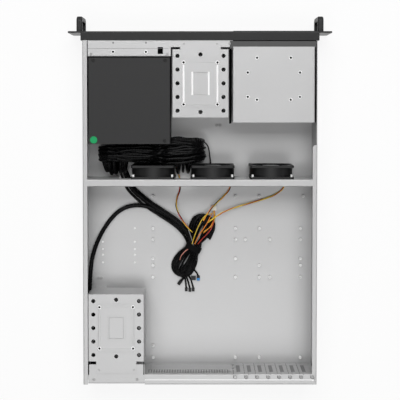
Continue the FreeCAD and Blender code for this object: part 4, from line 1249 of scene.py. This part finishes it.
    def _mains_and_trunks(self) -> None:
        """Lay the mains lead and the supply's sleeved leads."""
        mains = Route(
            "mains_lead", self.mains, self.mains_diameter, stiffness="medium", replaces=("ac_lead",)
        )
        Cord(mains, self.black, Slot.CABLE).build(["ac_lead_relief"])
        for i, points in enumerate(self.trunks, 1):
            route = Route(
                f"supply_lead_{i}",
                points,
                self.trunk_diameter,
                stiffness="medium",
                replaces=(f"trunk_lead_{i}",),
            )
            Cord(route, self.black, Slot.CABLE).build()

    def _tails(self) -> None:
        """Lay the fans' twisted wires, the board's and those of the small plugs."""
        yellow, red, orange = self.finishes[Slot.WIRE], self.finishes.red, self.finishes.orange
        strands = ([yellow, red, *self.black], [yellow, orange, *self.black], [yellow, red, yellow])
        for i, (points, jackets) in enumerate(zip(self.fan_leads, strands), 1):
            route = Route(f"fan_tail_{i}", points, self.wire_diameter, replaces=(f"fan_lead_{i}",))
            Cord(route, jackets, Slot.WIRE).build()
        board = Route("board_tail", self.board_lead, self.wire_diameter, replaces=("board_lead",))
        Cord(board, [yellow, orange], Slot.WIRE).build(["board_plug"])
        for i, points in enumerate(self.panel_leads, 1):
            route = Route(
                f"panel_tail_{i}",
                points,
                self.wire_diameter,
                far_end=FarEnd.CONNECTOR,
                replaces=(f"panel_lead_{min(i, 2)}",),
            )
            Cord(route, self.black, Slot.CABLE).build(["small_plugs"])

    def _lobe_wires(self) -> None:
        """Lay the thin coloured wires over the tied bundle."""
        finishes = self.finishes
        jackets = (finishes[Slot.WIRE], finishes.orange, finishes.red, finishes.pink, finishes.grey)
        for i, (points, jacket) in enumerate(zip(self.lobe_wires, jackets), 1):
            route = Route(f"lobe_wire_{i}", points, self.lobe_wire_diameter, replaces=("hank_tied",))
            Cord(route, [jacket], Slot.WIRE).build()

    def _plugged_lead(self, name: str, points: tuple[Point, ...], node: str, diameter: float) -> None:
        """Lay a short lead with the small plug at its end.

        Args:
            name: the lead's name.
            points: its route.
            node: the node that it replaces a part of.
            diameter: its outside diameter.
        """
        last, tip = Vector(points[-2]), Vector(points[-1])
        ahead = (tip - last).normalized()
        mesh = bmesh.new()
        half = diameter * 0.75
        corners = [math.tau * (k + 0.5) / 8 for k in range(8)]
        profile = [(half * math.cos(turn), half * 0.8 * math.sin(turn)) for turn in corners]
        add_sweep(mesh, [tip - ahead * 0.002, tip + ahead * 0.0075], profile, False)
        plug = fitted_piece(f"{name}_plug", mesh, self.finishes[Slot.PLASTIC])
        route = Route(name, points, diameter, far_end=FarEnd.CONNECTOR, replaces=(node,))
        Cord(route, self.black, Slot.CABLE).build([plug])

    def _blue_cap(self) -> None:
        """Put the blue cap on the end of the first small plug."""
        mesh = bmesh.new()
        add_block(mesh, (0.0001, 0.1553, 0.0018), (0.0063, 0.1600, 0.0060), 0.0006)
        fitted_piece("blue_cap", mesh, self.finishes.blue)

    def _strap(self, clearance: float = 0.0006, steps: int = 28) -> None:
        """Wrap the woven strap round the hank's waist as a closed band.

        Args:
            clearance: how far it stands off the leads.
            steps: its segments round.
        """
        hank = self.hank
        middle = Vector(hank.strap)
        ahead = (Vector(hank.far.middle) - Vector(hank.near.middle)).normalized()
        across = UP.cross(ahead)
        half_width, half_height = hank.strap_room[0] + clearance, hank.strap_room[1] + clearance
        lift = hank.base + half_height - clearance
        profile = (
            (-0.0056, 0.0), (-0.0052, 0.0011), (0.0052, 0.0011), (0.0056, 0.0), (0.0052, -0.0003),
        )
        mesh = bmesh.new()
        rings = []
        for step in range(steps):
            angle = math.tau * step / steps
            outward = across * math.cos(angle) + UP * math.sin(angle)
            spot = middle + across * math.cos(angle) * half_width
            spot.z = lift + math.sin(angle) * half_height
            rings.append([mesh.verts.new(spot + ahead * along + outward * out) for along, out in profile])
        join_rings(mesh, rings, True)
        strap = fitted_piece(
            "waist_strap", mesh, self.finishes.webbing, ("cable_tie",)
        )
        smooth_by_angle(strap)

    def _bundle(
        self, name: str, leads: Sequence[tuple[Point, ...]], diameter: float, node: str
    ) -> None:
        """Lay the leads of one folded bundle.

        Args:
            name: what each lead's name starts with.
            leads: their routes.
            diameter: their outside diameter.
            node: the node that they replace.
        """
        for i, points in enumerate(leads, 1):
            route = Route(f"{name}_{i}", points, diameter, lay=Lay.COILED, replaces=(node,))
            Cord(route, self.black, Slot.CABLE).build()


# Small pressed and fitted details


@dataclass(frozen=True)
class PressedBracket:
    """The raised frames, hole rims and dimples on a drive bracket's plate, with a painted highlight on its
    upright ribs.
    """

    name: str
    middle: Point
    rib_half: tuple[float, float] = (0.0309, 0.0383)
    field_half: tuple[float, float] = (0.0149, 0.0212)
    corner: float = 0.0045
    frame_offset: float = 0.0012
    hole_across: float = 0.042
    first_hole: float = -0.0503
    hole_pitch: float = 0.025
    hole_rows: int = 5
    end_hole: float = 0.0025
    rise: float = 0.00042
    rim: Outline = ((0.0024, -0.0012), (0.0026, 0.0001), (0.0037, 0.0001), (0.0039, -0.0002))
    # When set, the upright ribs keep the plain zinc instead of the painted highlight.
    wear_and_no_painted_highlight: bool = False

    def build(self, finishes: Finishes) -> None:
        """Press the frames, rims and dimples.

        Args:
            finishes: the finishes.
        """
        steep = ((-0.0019, -0.0002), (-0.0015, self.rise), (0.0015, self.rise), (0.0019, -0.0002))
        flat = [(x * 0.8, z * 0.6) for x, z in steep]
        upright, level = bmesh.new(), bmesh.new()
        x, y, z = self.middle
        reach = self.rib_half[1] - self.corner
        across = self.rib_half[0] - self.corner
        for side in (-1, 1):
            rib, inner = x + side * self.rib_half[0], x + side * self.field_half[0]
            row = y + side * (self.rib_half[1] + self.frame_offset)
            self._line(upright, (rib, y - reach), (rib, y + reach), steep)
            self._line(upright, (inner, y - self.field_half[1]), (inner, y + self.field_half[1]), steep)
            self._line(level, (x - across, row), (x + across, row), flat)
        add_sweep(level, rounded_rectangle(self.middle, self.field_half, 0.003), flat, True)
        zinc = finishes[Slot.GALVANISED]
        # The upright ribs take the white painted highlight unless the bracket's flag keeps them plain zinc.
        ribs = zinc if self.wear_and_no_painted_highlight else finishes.painted_highlight
        fitted_piece(f"{self.name}_ribs", upright, ribs)
        fitted_piece(f"{self.name}_frame", level, zinc)
        corners = [
            (x + side * self.rib_half[0], y + end * self.rib_half[1], z)
            for side in (-1, 1)
            for end in (-1, 1)
        ]
        dimples(f"{self.name}_dimples", corners, finishes)
        self._hole_rims(finishes)

    def _line(
        self,
        mesh: bmesh.types.BMesh,
        start: tuple[float, float],
        end: tuple[float, float],
        profile: Outline,
    ) -> None:
        """Raise one straight line on the plate, from start to end."""
        height = self.middle[2]
        add_sweep(mesh, [Vector((*start, height)), Vector((*end, height))], profile, False)

    def _hole_rims(self, finishes: Finishes) -> None:
        """Put a dark rim of painted shade in each of the plate's large holes.

        Args:
            finishes: the finishes.
        """
        mesh = bmesh.new()
        x, y, z = self.middle
        rows = [y + self.first_hole + self.hole_pitch * index for index in range(self.hole_rows)]
        spots = [(x + side * self.hole_across, row) for row in rows for side in (-1, 1)]
        spots += [(x, rows[0] - self.end_hole), (x, rows[-1] + self.end_hole)]
        for spot in spots:
            add_turned(mesh, (*spot, z), self.rim)
        fitted_piece(f"{self.name}_hole_rims", mesh, finishes.insert)


def dimples(name: str, places: Iterable[Point], finishes: Finishes) -> None:
    """Press a dimple round each small screw hole, its rim painted white as a highlight, with a dark disc of
    painted shade over its bore.

    Args:
        name: the piece's name.
        places: the holes' middles on the sheet's upper face.
        finishes: the finishes.
    """
    rims, bore_shades = bmesh.new(), bmesh.new()
    for place in places:
        add_turned(rims, place, ((0.0020, -0.0002), (0.0022, 0.0003), (0.0032, 0.0003), (0.0036, -0.0002)))
        add_turned(bore_shades, place, ((0.0, 0.0001), (0.0019, 0.0001), (0.0022, -0.0002)))
    fitted_piece(f"{name}_rims", rims, finishes.painted_highlight)
    fitted_piece(f"{name}_bores", bore_shades, finishes.insert)


@dataclass(frozen=True)
class Details:
    """Small forms that the sheets' nodes leave out, some painted white as highlights or dark as shade, and
    strips of painted shade that stand for gaps and slots.
    """

    finishes: Finishes
    top: float = 0.088
    strip_top: float = 0.0868
    drive_holes: tuple[tuple[tuple[float, float], float], ...] = (
        ((0.06172, 0.0766), 0.0867),
        ((0.09525, 0.04445), 0.0976),
    )
    cage_middle: float = -0.1349
    strip_holes: tuple[float, float] = (0.1586, 0.0987)
    strip_holes_row: float = 0.0376
    post_top: float = 0.0076
    post_columns: tuple[tuple[float, tuple[float, ...]], ...] = (
        (0.0899, (0.3083, 0.28544, 0.15336, 0.1305, 0.1178, 0.08097, 0.0599, -0.0017)),
        (-0.06758, (0.3083, 0.15336, 0.1178, 0.08097, 0.0599, -0.0017)),
        (-0.0867, (0.08097,)),
        (-0.1133, (0.3083, 0.15336, 0.1305, 0.0599, -0.0017)),
        (-0.1336, (0.15336, 0.08097)),
        (-0.19204, (0.3083, 0.15336, 0.1305, 0.1178, 0.08097, 0.0599)),
        (-0.197, (-0.0017,)),
    )
    slot_pitch: float = 0.02032
    first_cover: float = -0.0716
    covers: int = 7
    first_tab: float = -0.0853
    first_vent: float = 0.0955
    vent_pitch: float = 0.0049
    vents: int = 31
    # Strips of painted shade over the gaps between the sheets: low corner, high corner and edge radius.
    gaps: tuple[tuple[Point, Point, float], ...] = (
        # two sides of the rear cap
        ((0.2044, 0.2975, 0.0866), (0.2060, 0.3212, 0.0870), 0.0001),
        ((0.1030, 0.2975, 0.0866), (0.1044, 0.3212, 0.0870), 0.0001),
        # beside the drive cage, and the bar between it and the front bracket
        ((-0.2119, -0.2820, 0.0878), (-0.2106, -0.1441, 0.0882), 0.0001),
        ((-0.0576, -0.2830, 0.0740), (-0.0536, -0.1420, 0.0760), 0.0004),
        # before the supply, and before the flange over the bays
        ((0.0555, -0.2643, 0.0867), (0.2045, -0.2629, 0.0871), 0.0001),
        ((-0.2125, -0.2957, 0.0870), (-0.0600, -0.2930, 0.0879), 0.0002),
    )
    front_bracket: PressedBracket = PressedBracket("front_bracket", (-0.0009, -0.2157, 0.088))
    rear_bracket: PressedBracket = PressedBracket(
        "rear_bracket", (0.1543, 0.2337, 0.088), first_hole=-0.0497, wear_and_no_painted_highlight=True
    )

    def build(self) -> None:
        """Add every detail."""
        finishes = self.finishes
        self.front_bracket.build(finishes)
        self.rear_bracket.build(finishes)
        cage = [
            (self.cage_middle + dx / 2, y - FRONT_REACH + dy / 2, self.top)
            for (across, along), y in self.drive_holes
            for dx in (-across, across)
            for dy in (-along, along)
        ]
        dimples("cage", cage, finishes)
        row = self.strip_holes_row - FRONT_REACH
        dimples("strip", [(x, row, self.strip_top) for x in self.strip_holes], finishes)
        for name, slot, material, mesh in (
            ("strip_insert", Slot.PLASTIC, finishes.insert, self._insert()),
            ("strip_seam_shade", Slot.GALVANISED, finishes.shaded_zinc, self._seams()),
            # The flange over the bays is painted dark grey as shade.
            ("bay_lintel", Slot.GALVANISED, finishes.seam, self._lintel()),
            ("slot_seam_shades", Slot.GALVANISED, finishes.seam, self._slot_seams()),
            ("slot_field_shades", Slot.GALVANISED, finishes.shaded_zinc, self._slot_fields()),
            ("post_lips", Slot.BRIGHT, finishes.painted_highlight, self._post_lips()),
            ("tab_notch_shades", Slot.GALVANISED, finishes.seam, self._tab_notches()),
            ("open_gap_shades", Slot.GALVANISED, finishes.insert, self._open_gaps()),
            ("wall_vent_shades", Slot.GALVANISED, finishes.shaded_zinc, self._wall_vents()),
        ):
            fitted_piece(name, mesh, material)

    def _insert(self) -> bmesh.types.BMesh:
        """Make the black insert that fills the strip's window.

        Returns:
            Its mesh.
        """
        mesh = bmesh.new()
        low, high = (0.0677, -0.2818, self.strip_top - 0.004), (0.0772, -0.2696, self.strip_top)
        add_block(mesh, low, high, 0.0004)
        return mesh

    def _seams(self) -> bmesh.types.BMesh:
        """Make a line of painted shade between the strip and the front's flange, and two round marks of
        painted shade.

        Returns:
            Their mesh.
        """
        mesh = bmesh.new()
        line = ((-0.0003, -0.0002), (-0.0003, 0.0001), (0.0003, 0.0001), (0.0003, -0.0002))
        path = [Vector((x, -0.2794, self.strip_top)) for x in (0.205, 0.0575)]
        add_sweep(mesh, path, line, False)
        mark = ((0.0, 0.0002), (0.0014, 0.0002), (0.0018, -0.0002))
        for x in self.strip_holes:
            add_turned(mesh, (x, -0.2900, self.strip_top), mark)
        return mesh

    def _lintel(self, depth: float = 0.0138, drop: float = -0.008) -> bmesh.types.BMesh:
        """Make the flange over the bays, behind the front panel.

        Args:
            depth: its flat width.
            drop: where its folded edge ends, below its top.

        Returns:
            Its mesh.
        """
        mesh = bmesh.new()
        bend = depth + 0.0008
        profile = (
            (0.0, 0.0), (0.0, 0.0008), (depth, 0.0008), (bend, 0.0), (bend, drop), (depth, drop),
            (depth, 0.0),
        )
        path = [Vector((x, -0.2935, 0.0866)) for x in (-0.0545, -0.2125)]
        add_sweep(mesh, path, profile, False)
        return mesh

    def _cover_columns(self) -> list[float]:
        """Return the middles of the seven columns that the seams and fields are drawn at."""
        return [self.first_cover - self.slot_pitch * index for index in range(self.covers)]

    def _slot_seams(self) -> bmesh.types.BMesh:
        """Make the strips of painted shade up the rear wall that stand for the covers' seams.

        Returns:
            Their mesh.
        """
        mesh = bmesh.new()
        for x in self._cover_columns():
            add_block(mesh, (x + 0.0092, 0.3196, 0.004), (x + 0.0098, 0.3200, 0.084), 0.0001)
        return mesh

    def _slot_fields(self) -> bmesh.types.BMesh:
        """Make the strips of painted shade that stand for the covers' pressed fields.

        Returns:
            Their mesh.
        """
        mesh = bmesh.new()
        for x in self._cover_columns():
            add_block(mesh, (x - 0.0034, 0.3194, 0.022), (x + 0.0034, 0.3199, 0.070), 0.0002)
        return mesh

    def _tab_notches(self) -> bmesh.types.BMesh:
        """Make a notch and ring of painted shade at each screw of the covers' shelf, and at one place more.

        Returns:
            Their mesh.
        """
        mesh = bmesh.new()
        ring = ((0.0027, -0.0002), (0.0028, 0.0002), (0.0032, 0.0002), (0.0033, -0.0002))
        places = [self.first_tab - self.slot_pitch * index for index in range(-1, self.covers)]
        for x in places:
            add_block(mesh, (x + 0.0031, 0.3215, 0.0861), (x + 0.0037, 0.3272, 0.0866), 0.0001)
        for x in places:
            add_turned(mesh, (x, 0.3257, 0.0864), ring)
        return mesh

    def _post_lips(self) -> bmesh.types.BMesh:
        """Make the rolled lip on top of each board post, painted white as a highlight.

        Returns:
            Their mesh.
        """
        mesh = bmesh.new()
        lip = ((0.0007, -0.0004), (0.0009, 0.0002), (0.0023, 0.0003), (0.0026, -0.0001))
        for x, rows in self.post_columns:
            for y in rows:
                add_turned(mesh, (x, y, self.post_top), lip)
        return mesh

    def _open_gaps(self) -> bmesh.types.BMesh:
        """Make the narrow strips of painted shade that stand for open gaps between the sheets.

        Returns:
            Their mesh.
        """
        mesh = bmesh.new()
        for low, high, round_off in self.gaps:
            add_block(mesh, low, high, round_off)
        return mesh

    def _wall_vents(self) -> bmesh.types.BMesh:
        """Make the row of strips of painted shade that stand for vent slots high on the rear wall.

        Returns:
            Their mesh.
        """
        mesh = bmesh.new()
        for index in range(self.vents):
            x = self.first_vent - self.vent_pitch * index
            add_block(mesh, (x - 0.0012, 0.3200, 0.0500), (x + 0.0012, 0.3206, 0.0720), 0.0001)
        return mesh


# The CAD nodes' finishes


@dataclass(frozen=True)
class Dressing:
    """Which finish each group of the frame's own nodes takes."""

    finishes: Finishes
    groups: dict[Slot, tuple[str, ...]] = field(
        default_factory=lambda: {
            Slot.GALVANISED: (
                "chassis_tub", "front_bulkhead", "fan_wall", "psu_bracket",
                "drive_bracket_front", "drive_bracket_rear", "drive_cage",
                "rear_panel", "io_plate", "rear_rail", "rear_cap", "slot_covers",
            ),
            # Near-white painted highlight on the standoffs and fan screws.
            Slot.BRIGHT: ("standoffs", "fan_screws"),
            Slot.POWDER_COAT: ("front_panel", "ear_left", "ear_right"),
            Slot.CHARCOAL: ("psu_case", "psu_cover"),
            Slot.PLASTIC: (
                "handle_left", "handle_right", "bay_cover_lower", "bay_cover_upper",
                "fan_frame_1", "fan_frame_2", "fan_frame_3",
                "fan_rotor_1", "fan_rotor_2", "fan_rotor_3",
                "psu_fan_frame", "psu_fan_rotor", "psu_inlet", "psu_rocker",
                "rear_ac_socket", "ac_lead_relief", "cable_tie", "small_plugs", "drive_plug",
            ),
            Slot.BUTTON: ("power_button", "reset_button", "usb_sockets"),
            Slot.BLACK_SCREW: ("black_screws",),
            Slot.BOARD: ("control_board",),
            Slot.LENS: ("status_lights",),
            Slot.LABEL: ("psu_sticker",),
            Slot.NYLON: ("board_plug",),
        }
    )

    def dress(self, nodes: dict[str, bpy.types.Object]) -> None:
        """Give every listed node its finish.

        Args:
            nodes: the frame's nodes by name.
        """
        for slot, names in self.groups.items():
            for name in names:
                self._paint(nodes[name], self.finishes[slot])
        self._paint(nodes["case_screws"], self.finishes.grey_screw)

    def _paint(self, node: bpy.types.Object, material: bpy.types.Material) -> None:
        """Give one node one material."""
        node.data.materials.clear()
        node.data.materials.append(material)
        LOG.info("finish %s on %s", material.name, node.name)


# The studio


@dataclass(frozen=True)
class Softbox:
    """A rectangular lamp that faces a point, with its power in watts."""

    name: str
    place: Point
    target: Point
    size: tuple[float, float]
    power: float

    def hang(self) -> None:
        """Add the lamp to the scene."""
        data = bpy.data.lights.new(self.name, "AREA")
        data.shape = "RECTANGLE"
        data.size, data.size_y = self.size
        data.energy = self.power
        lamp = bpy.data.objects.new(self.name, data)
        lamp.location = self.place
        facing = Vector(self.target) - Vector(self.place)
        lamp.rotation_euler = facing.to_track_quat("-Z", "Y").to_euler()
        bpy.context.scene.collection.objects.link(lamp)


@dataclass
class Studio:
    """The camera, the softboxes, the pale floor and the surroundings."""

    camera_place: Point = (0.0, -0.185, 2.05)
    tilt: float = math.radians(2.0)
    lens: float = 96.6
    sensor: float = 36.0
    shift: float = -0.1556
    ambient: float = 0.08
    floor_glow: float = 0.88
    lamps: tuple[Softbox, ...] = (
        Softbox("overhead", (0.0, 1.3, 2.7), (0.0, 1.3, 0.0), (3.2, 2.0), 27.0),
        Softbox("front_light", (0.0, -2.6, 1.4), (0.0, 0.0, 0.0), (3.0, 0.8), 20.0),
        Softbox("front_high", (0.0, -1.3, 2.5), (0.0, 0.0, 0.0), (2.4, 1.2), 48.0),
        Softbox("rear_high", (0.0, 0.7, 2.6), (0.0, 0.7, 0.0), (1.0, 0.5), 6.0),
        Softbox("left_light", (2.2, 0.1, 0.9), (0.0, 0.1, 0.0), (1.6, 0.4), 2.0),
        Softbox("right_light", (-2.2, 0.1, 0.9), (0.0, 0.1, 0.0), (1.6, 0.4), 3.0),
    )

    def build(self) -> None:
        """Set everything up."""
        self._camera()
        for lamp in self.lamps:
            lamp.hang()
        self._floor()
        self._surroundings()
        LOG.info("studio ready")

    def _camera(self) -> None:
        """Look down on the case with its front at the top of the picture."""
        data = bpy.data.cameras.new("camera")
        data.lens = self.lens
        data.sensor_width = self.sensor
        data.shift_y = self.shift
        data.clip_start = 0.01
        data.clip_end = 50.0
        camera = bpy.data.objects.new("camera", data)
        right = Vector((-1.0, 0.0, 0.0))
        back = Vector((0.0, -math.sin(self.tilt), math.cos(self.tilt)))
        up = back.cross(right)
        turn = Matrix((right, up, back)).transposed().to_4x4()
        camera.matrix_world = Matrix.Translation(self.camera_place) @ turn
        bpy.context.scene.collection.objects.link(camera)
        bpy.context.scene.camera = camera

    def _seen_directly(self, shader: Shader) -> Value:
        """Tell where a camera, mirror or glass ray arrives, for a pale background.

        Args:
            shader: the floor's shader.

        Returns:
            1 for such a ray and 0 for the others.
        """
        path = shader.add("ShaderNodeLightPath")
        names = ("Is Camera Ray", "Is Glossy Ray", "Is Transmission Ray")
        rays = [Value(shader, path.outputs[name]) for name in names]
        return (rays[0] + rays[1] + rays[2]).clamped()

    def _floor(self, half: float = 12.0) -> None:
        """Lay the pale floor, which keeps a soft shadow.

        Args:
            half: half of its side.
        """
        shader = Shader("pale_floor")
        grain = shader.noise(3.0, 2.0)
        tone = shader.blend(grain, (0.86, 0.86, 0.86), (0.88, 0.88, 0.88))
        paper = shader.add("ShaderNodeBsdfDiffuse", None, {"Color": tone})
        glow = shader.add("ShaderNodeEmission", None, {"Color": (1.0, 1.0, 1.0, 1.0), "Strength": 1.0})
        mix = shader.add(
            "ShaderNodeMixShader",
            None,
            {0: self._seen_directly(shader) * self.floor_glow, 1: paper.outputs[0], 2: glow.outputs[0]},
        )
        shader.tree.links.new(mix.outputs[0], shader.output.inputs["Surface"])
        mesh = bmesh.new()
        bmesh.ops.create_grid(mesh, x_segments=4, y_segments=4, size=half)
        mesh_object("floor", mesh, [shader.material])

    def _surroundings(self) -> None:
        """Light from all round, and a white background."""
        world = bpy.data.worlds.new("surroundings")
        bpy.context.scene.world = world
        world.use_nodes = True
        tree = world.node_tree
        tree.nodes.clear()
        path = tree.nodes.new("ShaderNodeLightPath")
        around = tree.nodes.new("ShaderNodeBackground")
        around.inputs["Color"].default_value = (1.0, 1.0, 1.0, 1.0)
        around.inputs["Strength"].default_value = self.ambient
        white = tree.nodes.new("ShaderNodeBackground")
        white.inputs["Color"].default_value = (1.0, 1.0, 1.0, 1.0)
        white.inputs["Strength"].default_value = 1.0
        mix = tree.nodes.new("ShaderNodeMixShader")
        output = tree.nodes.new("ShaderNodeOutputWorld")
        tree.links.new(path.outputs["Is Camera Ray"], mix.inputs[0])
        tree.links.new(around.outputs[0], mix.inputs[1])
        tree.links.new(white.outputs[0], mix.inputs[2])
        tree.links.new(mix.outputs[0], output.inputs["Surface"])


def main() -> None:
    """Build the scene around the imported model."""
    logging.basicConfig(level=logging.INFO, format="%(name)s: %(message)s")
    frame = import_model()
    scene = bpy.context.scene
    scene.view_settings.view_transform = "Standard"
    finishes = Finishes()
    Studio().build()
    Dressing(finishes).dress(frame["nodes"])
    Details(finishes).build()
    Cabling(finishes).build()


if __name__ == "__main__":
    main()
